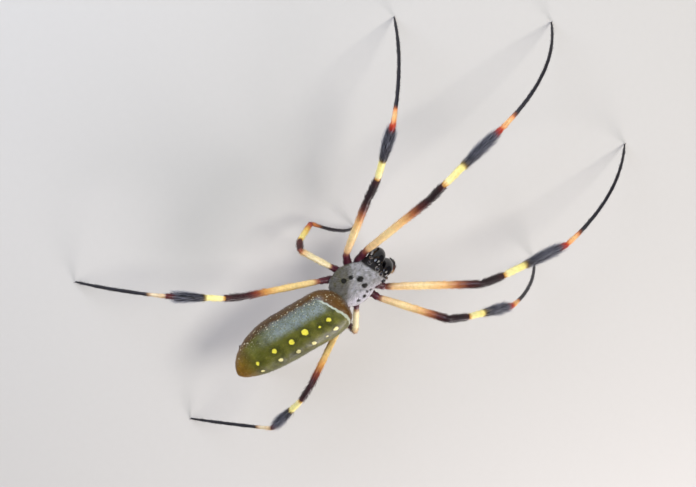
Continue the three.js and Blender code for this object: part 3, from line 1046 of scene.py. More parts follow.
    def claws(self) -> list[Shell]:
        """Two paired claws and a small middle one, hooked down to the floor."""
        ahead_of_tip = np.array([4.97, 5.0])
        before, tip = self.line(ahead_of_tip)
        forward = unit((tip - before) * np.array([1.0, 1.0, 0.0]))
        across = np.cross(UP, forward)
        made = []
        for label, (spread, length) in CLAWS.items():
            t = np.linspace(0, 1, 7)
            run = forward * length * np.sin(t * 1.45)[:, None]
            hook = UP * (0.05 * np.sin(t * math.pi) - 0.09 * t**2)[:, None]
            line = tip + run + hook + across * spread * (1 + 0.6 * t)[:, None]
            radii = CLAW_RADIUS * (1 - 0.85 * t)
            line[:, 2] = np.maximum(line[:, 2], radii + CLAW_GAP)
            made.append(Shell(label, tube(line, radii, 6), Region.SPINNERET))
        return made


@dataclass
class Mouthparts:
    """Palps, jaws and fangs under the head."""

    palp_path: tuple[tuple[float, float, float], ...] = (
        (1.2, 2.6, -1.7), (2.3, 3.5, -2.0), (2.55, 4.9, -1.15),
        (2.5, 5.55, -1.15), (2.3, 6.1, -2.1), (1.9, 6.2, -3.5),
    )
    palp_profile: tuple[tuple[float, float], ...] = (
        (0.0, 0.3), (0.8, 0.33), (0.97, 0.28), (1.0, 0.24), (1.05, 0.28), (1.8, 0.28),
        (1.97, 0.26), (2.0, 0.21), (2.05, 0.26), (2.5, 0.28), (2.95, 0.26), (3.0, 0.22),
        (3.05, 0.27), (3.5, 0.3), (3.95, 0.26), (4.0, 0.22), (4.1, 0.27), (4.6, 0.22),
        (5.0, 0.09),
    )
    jaw_path: tuple[tuple[float, float, float], ...] = (
        (1.1, 3.3, 0.5), (1.1, 4.45, 0.35), (1.12, 5.05, -0.6), (1.1, 5.1, -1.7), (1.05, 4.7, -2.7),
    )
    jaw_radii: tuple[float, ...] = (0.7, 0.9, 0.95, 0.85, 0.5)
    fang_path: tuple[tuple[float, float, float], ...] = (
        (1.1, 4.8, -2.3), (1.1, 4.5, -3.1), (0.75, 3.9, -3.35), (0.45, 3.55, -3.15),
    )
    fang_radii: tuple[float, ...] = (0.34, 0.28, 0.17, 0.05)

    def line(
        self, path: tuple[tuple[float, float, float], ...], side: int, at: np.ndarray
    ) -> np.ndarray:
        """Smooth line through body places on one side.

        Args:
            path: Places out, forward and above.
            side: LEFT or RIGHT.
            at: Positions counted in the path's own points.

        Returns:
            Points in millimetres.
        """
        knots = [(float(i), *place) for i, place in enumerate(path)]
        out, forward, above = through(knots, at).T
        return STANCE.place(side * out, forward, above)

    def palp(self, side: int) -> Shell:
        """Closed surface of a palp."""
        at = np.linspace(0.02, 4.98, 84)
        line = self.line(self.palp_path, side, at)
        rings = tube(line, reading(self.palp_profile, at), 18)
        ahead = frames_along(line)[0]
        values = {"place": rings - line[:, None, :], "along": at}
        values["lie"] = np.broadcast_to(ahead[:, None, :], rings.shape)
        values["hair"] = np.interp(at, [0, 1, 3, 4, 5], [0.4, 1.0, 2.0, 4.0, 4.0])
        values["reach"] = np.full(len(at), 0.9)
        return Shell(f"palp_{SIDE_NAMES[side]}", rings, Region.PALP, values, (0.05, 0.05))

    def jaw(self, side: int) -> Shell:
        """Closed surface of a jaw, swollen in front."""
        last = len(self.jaw_path) - 1
        at = np.linspace(0.0, last, 54)
        line = self.line(self.jaw_path, side, at)
        radii = through([(float(i), r) for i, r in enumerate(self.jaw_radii)], at)[:, 0]
        tuck = 1 - 0.35 * step(at, last - 0.35, last)
        rings = tube(line, radii * tuck, 44, flat=1.08)
        outward = unit(rings - line[:, None, :])
        rings = rings + outward * (0.02 * ripple(rings, 0.9, SEED + 5))[..., None]
        return Shell(f"chelicera_{SIDE_NAMES[side]}", rings, Region.PALP, {}, (0.1, 0.16))

    def fang(self, side: int) -> Shell:
        """Closed surface of a fang."""
        last = len(self.fang_path) - 1
        at = np.linspace(0.0, last, 30)
        line = self.line(self.fang_path, side, at)
        radii = through([(float(i), r) for i, r in enumerate(self.fang_radii)], at)[:, 0]
        return Shell(f"fang_{SIDE_NAMES[side]}", tube(line, radii, 20), Region.PALP, {}, (0.1, 0.05))


Socket = bpy.types.NodeSocket
Value = Socket | float | tuple[float, ...]


def paint(code: str) -> tuple[float, float, float, float]:
    """Linear colour of a six-digit screen colour."""
    parts = [int(code[i : i + 2], 16) / 255 for i in (1, 3, 5)]
    linear = [p / 12.92 if p <= 0.04045 else ((p + 0.055) / 1.055) ** 2.4 for p in parts]
    return (*linear, 1.0)


class Graph:
    """Nodes of one tree, added and joined in short calls."""

    def __init__(self, tree: bpy.types.NodeTree) -> None:
        """Starts on a tree, which may be empty."""
        self.tree = tree

    def feed(self, socket: Socket, value: Value) -> None:
        """Links a socket to an input, or sets the input to a value."""
        if isinstance(value, bpy.types.NodeSocket):
            self.tree.links.new(value, socket)
        else:
            socket.default_value = value

    def add(
        self, kind: str, feeds: dict[str, Value] | None = None, **settings: object
    ) -> bpy.types.Node:
        """Adds a node.

        Args:
            kind: Its type.
            feeds: Values or sockets for its inputs, by name.
            settings: Its own settings.

        Returns:
            The node.
        """
        node = self.tree.nodes.new(kind)
        for name, value in settings.items():
            setattr(node, name, value)
        for name, value in (feeds or {}).items():
            self.feed(self.input(node, name), value)
        return node

    @staticmethod
    def input(node: bpy.types.Node, name: str) -> Socket:
        """First usable input of that name."""
        return next(s for s in node.inputs if s.name == name and s.enabled)

    @staticmethod
    def output(node: bpy.types.Node, name: str) -> Socket:
        """First usable output of that name."""
        return next(s for s in node.outputs if s.name == name and s.enabled)

    def math(self, operation: str, *values: Value) -> Socket:
        """Result of a sum on numbers."""
        node = self.add("ShaderNodeMath", operation=operation)
        for socket, value in zip(node.inputs, values):
            self.feed(socket, value)
        return node.outputs[0]

    def times(self, first: Value, *others: Value) -> Socket:
        """Product of two numbers or more."""
        made = first
        for value in others:
            made = self.math("MULTIPLY", made, value)
        return made

    def plus(self, first: Value, second: Value) -> Socket:
        """Sum of two numbers."""
        return self.math("ADD", first, second)

    def minus(self, first: Value, second: Value) -> Socket:
        """First number less the second."""
        return self.math("SUBTRACT", first, second)

    def vector(self, operation: str, *values: Value) -> Socket:
        """Result of a sum on vectors, a number for a distance or a length."""
        node = self.add("ShaderNodeVectorMath", operation=operation)
        inputs = [s for s in node.inputs if s.enabled]
        for socket, value in zip(inputs, values):
            self.feed(socket, value)
        return next(s for s in node.outputs if s.enabled)

    def step(self, value: Value, low: float, high: float) -> Socket:
        """Smooth step, from 0 at low to 1 at high."""
        node = self.add("ShaderNodeMapRange", interpolation_type="SMOOTHSTEP")
        for name, part in (("Value", value), ("From Min", low), ("From Max", high)):
            self.feed(self.input(node, name), part)
        return self.output(node, "Result")

    def blend(self, share: Value, first: Value, second: Value) -> Socket:
        """Colour between two colours."""
        node = self.add("ShaderNodeMix", data_type="RGBA")
        for name, part in (("Factor", share), ("A", first), ("B", second)):
            self.feed(self.input(node, name), part)
        return self.output(node, "Result")

    def noise(self, place: Value, scale: float, detail: float, rough: float) -> Socket:
        """Uneven value from 0 to 1."""
        feeds = {"Vector": place, "Scale": scale, "Detail": detail, "Roughness": rough}
        return self.add("ShaderNodeTexNoise", feeds).outputs[0]

    def ramp(self, value: Value, stops: list[tuple[float, str]], smooth: bool = False) -> Socket:
        """Colour along a scale from 0 to 1.

        Args:
            value: Place on the scale.
            stops: Places and their colours.
            smooth: Eases the change at each stop.

        Returns:
            The colour.
        """
        node = self.add("ShaderNodeValToRGB", {"Fac": value})
        band = node.color_ramp
        band.interpolation = "EASE" if smooth else "LINEAR"
        while len(band.elements) < len(stops):
            band.elements.new(1.0)
        for element, (place, code) in zip(band.elements, stops):
            element.position = place
            element.color = paint(code)
        return node.outputs[0]

    def attribute(self, name: str, part: str = "Fac") -> Socket:
        """Value that the mesh carries."""
        return self.add("ShaderNodeAttribute", attribute_name=name).outputs[part]


class Group:
    """Shader node group with named inputs and outputs, built once."""

    def __init__(self, name: str, inputs: dict[str, str], outputs: dict[str, str]) -> None:
        """Makes the empty group.

        Args:
            name: Name of the group.
            inputs: Socket types of its inputs.
            outputs: Socket types of its outputs.
        """
        self.tree = bpy.data.node_groups.new(name, "ShaderNodeTree")
        for label, kind in inputs.items():
            self.tree.interface.new_socket(label, in_out="INPUT", socket_type=kind)
        for label, kind in outputs.items():
            self.tree.interface.new_socket(label, in_out="OUTPUT", socket_type=kind)
        self.graph = Graph(self.tree)
        self.start = self.graph.add("NodeGroupInput")
        self.finish = self.graph.add("NodeGroupOutput")

    def put(self, name: str, value: Socket) -> None:
        """Gives an output its value."""
        self.graph.feed(self.finish.inputs[name], value)

    def place(self, graph: Graph, feeds: dict[str, Value]) -> bpy.types.Node:
        """Places the group in a material.

        Args:
            graph: Nodes of the material.
            feeds: Values for its inputs.

        Returns:
            The group's node.
        """
        node = graph.add("ShaderNodeGroup", node_tree=self.tree)
        for name, value in feeds.items():
            graph.feed(node.inputs[name], value)
        return node


FLOAT, VECTOR, COLOR = "NodeSocketFloat", "NodeSocketVector", "NodeSocketColor"


def grain_group() -> Group:
    """Fine unevenness of cuticle: a tint, a roughness change and a height."""
    group = Group(
        "cuticle_grain",
        {"Place": VECTOR, "Scale": FLOAT, "Color": COLOR, "Mottle": FLOAT},
        {"Color": COLOR, "Rough": FLOAT, "Height": FLOAT},
    )
    g, start = group.graph, group.start.outputs
    place = g.vector("SCALE", start["Place"], start["Scale"])
    cells = g.add("ShaderNodeTexVoronoi", {"Vector": place, "Scale": 9.0}, feature="F1")
    broad = g.noise(place, 1.6, 4.0, 0.6)
    fine = g.noise(place, 14.0, 3.0, 0.55)
    shade = g.times(g.minus(broad, 0.5), start["Mottle"])
    factor = g.plus(1.0, g.times(shade, 2.0))
    tint = g.vector("SCALE", start["Color"], factor)
    group.put("Color", tint)
    group.put("Rough", g.plus(g.times(fine, 0.18), g.times(broad, 0.12)))
    height = g.plus(g.times(cells.outputs["Distance"], 0.6), fine)
    group.put("Height", g.plus(height, g.times(broad, 0.5)))
    return group


def abdomen_group(abdomen: Abdomen) -> Group:
    """Markings of the abdomen, with a painted reflection on its left flank, from places in its own frame.

    Args:
        abdomen: Its sizes.

    Returns:
        The group, which puts out the colour.
    """
    group = Group("abdomen_marks", {"Place": VECTOR}, {"Color": COLOR})
    g, start = group.graph, group.start.outputs
    wander = g.add("ShaderNodeTexNoise", {"Vector": start["Place"], "Scale": 1.7, "Detail": 2.0})
    offset = g.vector("SCALE", g.vector("SUBTRACT", wander.outputs["Color"], (0.5, 0.5, 0.5)), 0.42)
    place = g.vector("ADD", start["Place"], offset)
    parts = g.add("ShaderNodeSeparateXYZ", {"Vector": place})
    left, run, high = parts.outputs
    around = g.times(g.math("ARCTAN2", left, high), 180 / math.pi)
    off_back = g.math("ABSOLUTE", around)
    broad = g.noise(start["Place"], 0.8, 4.0, 0.6)
    fine = g.noise(start["Place"], 5.0, 3.0, 0.6)

    olive = g.ramp(broad, [(0.25, "#3a3b0e"), (0.5, "#57571a"), (0.75, "#6f6e2c")], True)
    rust = g.ramp(fine, [(0.2, "#281804"), (0.55, "#523508"), (0.85, "#7c5814")], True)
    belly = g.ramp(fine, [(0.2, "#2a1d0c"), (0.8, "#544018")], True)
    edge = g.plus(off_back, g.times(g.minus(broad, 0.5), 26.0))
    color = g.blend(g.step(edge, 64.0, 84.0), olive, rust)
    color = g.blend(g.step(edge, 118.0, 142.0), color, belly)
    amber = g.blend(fine, paint("#5c4210"), paint("#93691c"))
    color = g.blend(g.step(run, 15.4, 19.3), color, amber)
    front = g.blend(fine, paint("#3e2609"), paint("#6e4a14"))
    turned = g.math("POWER", g.minus(around, abdomen.band_middle), 2.0)
    bend = g.plus(abdomen.band_front, g.times(turned, abdomen.band_bend))
    color = g.blend(g.step(g.minus(run, bend), 0.25, -0.35), color, front)
    # Painted reflection: a pale blue-grey haze on the upper left flank only, where the sky light from the
    # left is mirrored. It is partly a bloom colour of the cuticle, which the right flank doesn't get.
    reflection_edge = g.times(g.step(around, 28.0, 46.0), g.step(edge, 86.0, 70.0))
    reflection_run = g.times(g.step(run, 2.0, 3.2), g.step(run, 15.0, 10.0))
    bloom_and_reflection = g.times(reflection_edge, reflection_run, g.step(fine, 0.25, 0.6))
    color = g.blend(g.times(bloom_and_reflection, 0.5), color, paint("#8799a2"))

    speck = g.add(
        "ShaderNodeTexVoronoi",
        {"Vector": place, "Scale": 1.75, "Randomness": 0.7},
        feature="F1",
    )
    flank = g.times(g.step(off_back, 58.0, 70.0), g.step(off_back, 140.0, 118.0))
    dots = g.times(g.step(speck.outputs["Distance"], 0.23, 0.14), flank)
    tiny = g.add("ShaderNodeTexVoronoi", {"Vector": place, "Scale": 3.4}, feature="F1")
    haze = g.times(g.step(tiny.outputs["Distance"], 0.2, 0.1), g.step(off_back, 36.0, 56.0))
    haze = g.times(haze, g.step(off_back, 96.0, 78.0))
    dots = g.math("MAXIMUM", dots, g.times(haze, 0.8))
    color = g.blend(g.times(dots, 0.85), color, paint("#e0d8b4"))

    shadow: Socket | float = 0.0
    yellow: Socket | float = 0.0
    for spot, turn, radius in abdomen.spots:
        reach = float(abdomen.radius_at(np.array(spot)))
        middle = (reach * math.sin(math.radians(turn)), spot, reach * math.cos(math.radians(turn)))
        away = g.vector("DISTANCE", place, middle)
        yellow = g.math("MAXIMUM", yellow, g.step(away, radius + 0.09, radius - 0.09))
        shadow = g.math("MAXIMUM", shadow, g.step(away, radius + 0.75, radius + 0.05))
    color = g.blend(g.times(shadow, 0.5), color, paint("#2c2e0c"))
    lemon = g.blend(g.step(around, -6.0, 6.0), paint("#ece29a"), paint("#ece04a"))
    color = g.blend(yellow, color, lemon)

    stripe = g.math("ABSOLUTE", g.minus(run, bend))
    band = g.times(g.step(stripe, 0.24, 0.1), g.step(off_back, 80.0, 58.0))
    color = g.blend(g.times(band, 0.85), color, paint("#b6beaa"))
    group.put("Color", color)
    return group


def carapace_group(head: Head) -> Group:
    """Markings of the carapace, with painted light and shade, from places in the body's own frame.

    Args:
        head: Its sizes.

    Returns:
        The group, which puts out the colour.
    """
    group = Group("carapace_marks", {"Place": VECTOR, "Bare": FLOAT}, {"Color": COLOR})
    g, start = group.graph, group.start.outputs
    parts = g.add("ShaderNodeSeparateXYZ", {"Vector": start["Place"]})
    left, back, above = parts.outputs
    flat = g.add("ShaderNodeCombineXYZ", {"X": left, "Y": back}).outputs[0]
    wander = g.noise(start["Place"], 2.4, 3.0, 0.6)
    bald: Socket | float = 0.0
    for spot_left, forward, radius in head.bald_spots:
        away = g.vector("DISTANCE", flat, (spot_left, -forward, 0.0))
        away = g.plus(away, g.times(g.minus(wander, 0.5), 0.2))
        bald = g.math("MAXIMUM", bald, g.step(away, radius * 1.12, radius * 0.85))
    silver = g.ramp(wander, [(0.3, "#85847c"), (0.5, "#b9b8b6"), (0.7, "#dcdadf")], True)
    # Painted highlight: the silver turns white on the upper right side, where the rim light from her right
    # falls.
    lit_right_side = g.times(g.step(left, -0.6, -2.2), g.step(above, 0.0, 0.3))
    silver = g.blend(lit_right_side, silver, paint("#f6f3fa"))
    silver = g.blend(start["Bare"], silver, paint("#3c3826"))
    # Painted shade with some olive colour of its own: darker olive towards the rear, in the abdomen's
    # shadow, and towards the left slope, away from the light.
    olive = g.blend(wander, paint("#2e2c18"), paint("#69664c"))
    shaded = g.plus(back, g.times(left, 0.8))
    color = g.blend(g.step(shaded, 0.9, 2.4), silver, olive)
    under = g.ramp(wander, [(0.25, "#2a0f10"), (0.6, "#4c1c18"), (0.85, "#7a3a2a")], True)
    color = g.blend(g.step(above, 0.15, -0.2), color, under)
    # Dark cuticle in front of the felt, round the eyes. On the left it reaches further back, as painted
    # shade of the first left leg.
    edges = [g.times(left, slope) for slope in head.front_slopes]
    front = g.plus(back, g.math("MINIMUM", *edges))
    face = g.step(front, -head.felt_front + 0.2, -head.felt_front - 0.2)
    color = g.blend(face, color, paint("#14100f"))
    color = g.blend(bald, color, paint("#100f0a"))
    group.put("Color", color)
    return group


LEG_STOPS = {
    Region.FRONT_LEG: [
        (0.0, "#300c18"), (0.95, "#501426"), (1.03, "#8a4a3a"), (1.08, "#e6c08a"),
        (1.4, "#f4d696"), (1.62, "#ecb974"), (1.76, "#b0683a"), (1.87, "#56201a"),
        (2.0, "#240a10"), (2.6, "#1d0a10"), (2.96, "#3a1012"), (3.01, "#d99a3a"),
        (3.05, "#f8eca4"), (3.3, "#f6e68a"), (3.345, "#7a5a20"), (3.37, "#12101a"),
        (3.83, "#12101a"), (3.87, "#5c0f0c"), (3.92, "#9c1d10"), (3.99, "#c4401c"),
        (4.015, "#eca25c"), (4.07, "#f4c482"), (4.11, "#d9793c"), (4.125, "#4a1a18"),
        (4.14, "#120f1a"), (5.0, "#0c0a14"),
    ],
    Region.THIRD_LEG: [
        (0.0, "#300c18"), (0.95, "#501426"), (1.03, "#b08a60"), (1.1, "#f0e0b0"),
        (1.75, "#f4e6b8"), (1.93, "#e8c48c"), (1.99, "#9a4a2a"), (2.1, "#3a1012"),
        (2.9, "#5a1a12"), (3.03, "#e0b04a"), (3.1, "#f0e088"), (3.55, "#e8bc54"),
        (3.78, "#b8481c"), (3.97, "#7e1c10"), (4.03, "#c87a3a"), (4.1, "#a8602c"),
        (4.17, "#1c141c"), (5.0, "#0c0a14"),
    ],
    Region.HIND_LEG: [
        (0.0, "#300c18"), (0.95, "#501426"), (1.03, "#9a5a44"), (1.1, "#e8cc8c"),
        (1.55, "#ecca80"), (1.72, "#d89a4a"), (1.84, "#8a3a1c"), (1.93, "#4c1014"),
        (2.0, "#360b12"), (2.6, "#2a0a10"), (2.96, "#4c1012"), (3.01, "#dca43c"),
        (3.05, "#f8eca4"), (3.3, "#f6e890"), (3.345, "#7a5a20"), (3.37, "#12101a"),
        (3.8, "#12101a"), (3.88, "#4c1014"), (3.99, "#5c1614"), (4.015, "#e2c090"),
        (4.12, "#f0dcb4"), (4.165, "#c09468"), (4.19, "#2a1c1c"), (4.22, "#120f1a"),
        (5.0, "#0c0a14"),
    ],
    Region.PALP: [
        (0.0, "#3a1210"), (1.0, "#6a2a1a"), (1.6, "#b98a4c"), (2.4, "#c89c5c"),
        (3.0, "#5a2418"), (3.6, "#1c1014"), (5.0, "#0c0a12"),
    ],
    Region.SPINNERET: [(0.0, "#3c2410"), (2.5, "#6a4420"), (4.0, "#3a2414"), (5.0, "#18120e")],
}


def ring_group(region: Region) -> Group:
    """Colour rings of a leg, from places along it.

    Args:
        region: Which legs.

    Returns:
        The group, which puts out the colour.
    """
    group = Group(f"{region.name.lower()}_rings", {"Along": FLOAT, "Place": VECTOR}, {"Color": COLOR})
    g, start = group.graph, group.start.outputs
    wander = g.minus(g.noise(start["Place"], 3.2, 3.0, 0.6), 0.5)
    shifted = g.plus(start["Along"], g.times(wander, 0.045))
    stops = [(place / 5, code) for place, code in LEG_STOPS[region]]
    group.put("Color", g.ramp(g.math("DIVIDE", shifted, 5.0), stops))
    return group


def new_material(name: str) -> tuple[bpy.types.Material, Graph, bpy.types.Node]:
    """New material with its nodes and its Principled shader."""
    material = bpy.data.materials.new(name)
    material.use_nodes = True
    shader = next(n for n in material.node_tree.nodes if n.type == "BSDF_PRINCIPLED")
    return material, Graph(material.node_tree), shader


@dataclass(frozen=True)
class Cuticle:
    """Finish of bare cuticle."""

    roughness: float
    mottle: float
    bump: float
    scale: float
    coat: float = 0.0
    scatter: float = 0.0
    level: float = 0.5


@dataclass(frozen=True)
class Bristly:
    """Finish of hair: its roughness, and how far its tips differ in colour."""

    roughness: float
    tip_color: str
    tip_share: float
    sheen: float = 0.0


BARE_SHARE = 0.6
BUMP_STRENGTH = 0.6
COAT_ROUGHNESS = 0.12
SCATTER_DEPTH = 0.3
LEG_CUTICLE = Cuticle(0.3, 0.35, 0.02, 1200.0, 0.15, 0.05)
BODY_CUTICLE = {
    Region.CARAPACE: Cuticle(0.42, 0.4, 0.05, 900.0, level=0.2),
    Region.ABDOMEN: Cuticle(0.24, 0.55, 0.04, 600.0, 0.06, 0.05, 0.28),
}
JAW_CUTICLE = Cuticle(0.03, 0.5, 0.01, 900.0, 0.25, level=0.4)
FANG_HORN = Cuticle(0.06, 0.6, 0.01, 900.0, 0.3)
EYE_LENS = Cuticle(0.02, 0.4, 0.002, 900.0, 0.5, level=0.4)


class Palette:
    """Materials of the spider, which share their marking groups."""

    def __init__(self, head: Head, abdomen: Abdomen) -> None:
        """Builds the shared groups.

        Args:
            head: Sizes for the carapace's marks.
            abdomen: Sizes for the abdomen's marks.
        """
        self.grain = grain_group()
        self.marks: dict[Region, Group] = {
            Region.CARAPACE: carapace_group(head),
            Region.ABDOMEN: abdomen_group(abdomen),
        }
        for region in LEG_STOPS:
            self.marks[region] = ring_group(region)

    def marking(self, graph: Graph, region: Region, bare: float) -> Socket:
        """Colour of a region's markings inside a material.

        Args:
            graph: Nodes of the material.
            region: The region.
            bare: How much dark cuticle shows through the carapace's silver.

        Returns:
            The colour.
        """
        feeds: dict[str, Value] = {"Place": graph.attribute("place", "Vector")}
        if region in LEG_STOPS:
            feeds["Along"] = graph.attribute("along")
        if region is Region.CARAPACE:
            feeds["Bare"] = bare
        return self.marks[region].place(graph, feeds).outputs["Color"]

    def cuticle(
        self, name: str, region: Region | None, finish: Cuticle, color: str = "#000000"
    ) -> bpy.types.Material:
        """Material of bare cuticle.

        Args:
            name: Name of the material.
            region: Whose markings it shows, or none for a plain colour.
            finish: Gloss and grain.
            color: The plain colour.

        Returns:
            The material.
        """
        material, g, shader = new_material(name)
        place = g.add("ShaderNodeTexCoord").outputs["Object"]
        base = self.marking(g, region, BARE_SHARE) if region else paint(color)
        feeds = {"Place": place, "Scale": finish.scale, "Color": base, "Mottle": finish.mottle}
        grain = self.grain.place(g, feeds).outputs
        g.feed(shader.inputs["Base Color"], grain["Color"])
        g.feed(shader.inputs["Roughness"], g.plus(finish.roughness, grain["Rough"]))
        feeds = {"Height": grain["Height"], "Strength": BUMP_STRENGTH, "Distance": finish.bump * MM}
        bump = g.add("ShaderNodeBump", feeds)
        g.feed(shader.inputs["Normal"], bump.outputs[0])
        shader.inputs["Specular IOR Level"].default_value = finish.level
        shader.inputs["Coat Weight"].default_value = finish.coat
        shader.inputs["Coat Roughness"].default_value = COAT_ROUGHNESS
        shader.inputs["Subsurface Weight"].default_value = finish.scatter
        shader.inputs["Subsurface Scale"].default_value = SCATTER_DEPTH * MM
        return material

    def hair(self, name: str, region: Region, finish: Bristly) -> bpy.types.Material:
        """Material of hair that carries the skin's markings.

        Args:
            name: Name of the material.
            region: Whose markings it shows.
            finish: Gloss, and colour of the tips.

        Returns:
            The material.
        """
        material, g, shader = new_material(name)
        base = self.marking(g, region, 0.0)
        tone = g.plus(0.7, g.times(g.attribute("tone"), 0.6))
        toned = g.vector("SCALE", base, tone)
        share = g.times(g.attribute("tip"), finish.tip_share)
        g.feed(shader.inputs["Base Color"], g.blend(share, toned, paint(finish.tip_color)))
        spread = g.times(g.attribute("tone"), 0.15)
        g.feed(shader.inputs["Roughness"], g.plus(finish.roughness, spread))
        shader.inputs["Sheen Weight"].default_value = finish.sheen
        return material


@dataclass(frozen=True)
class Bristle:
    """Shape of one hair, of length one, that bends forwards."""

    width: float
    bend: float
    sections: tuple[float, ...] = (-0.1, 0.35, 0.7)
    sides: int = 3
    flat: float = 1.0

    def make(self, name: str) -> bpy.types.Object:
        """Closed pointed mesh, with its place along it and its patch of the map.

        Args:
            name: Name of the object.

        Returns:
            The object.
        """
        turn = np.arange(self.sides) / self.sides * 2 * math.pi
        points, tips, patches = [], [], []
        for height in self.sections:
            lean = self.bend * max(height, 0.0) ** 2
            radius = self.width / 2 * math.sqrt(max(0.0, 1 - max(height, 0.0)))
            for k, angle in enumerate(turn):
                x = lean + radius * math.cos(angle) * self.flat
                points.append((x, radius * math.sin(angle), height))
                tips.append(max(height, 0.0))
                patches.append((k / self.sides, max(height, 0.0), 0.0))
        points.append((self.bend, 0.0, 1.0))
        tips.append(1.0)
        patches.append((0.5, 1.0, 0.0))
        faces: list[tuple[int, ...]] = [tuple(reversed(range(self.sides)))]
        for row in range(len(self.sections) - 1):
            here, there = row * self.sides, (row + 1) * self.sides
            for k in range(self.sides):
                j = (k + 1) % self.sides
                faces.append((here + k, here + j, there + j, there + k))
        last = (len(self.sections) - 1) * self.sides
        for k in range(self.sides):
            faces.append((last + k, last + (k + 1) % self.sides, len(points) - 1))
        made = add_mesh(name, np.array(points), faces)
        store(made.data, "tip", "FLOAT", np.array(tips))
        store(made.data, "patch", "FLOAT_VECTOR", np.array(patches))
        return made


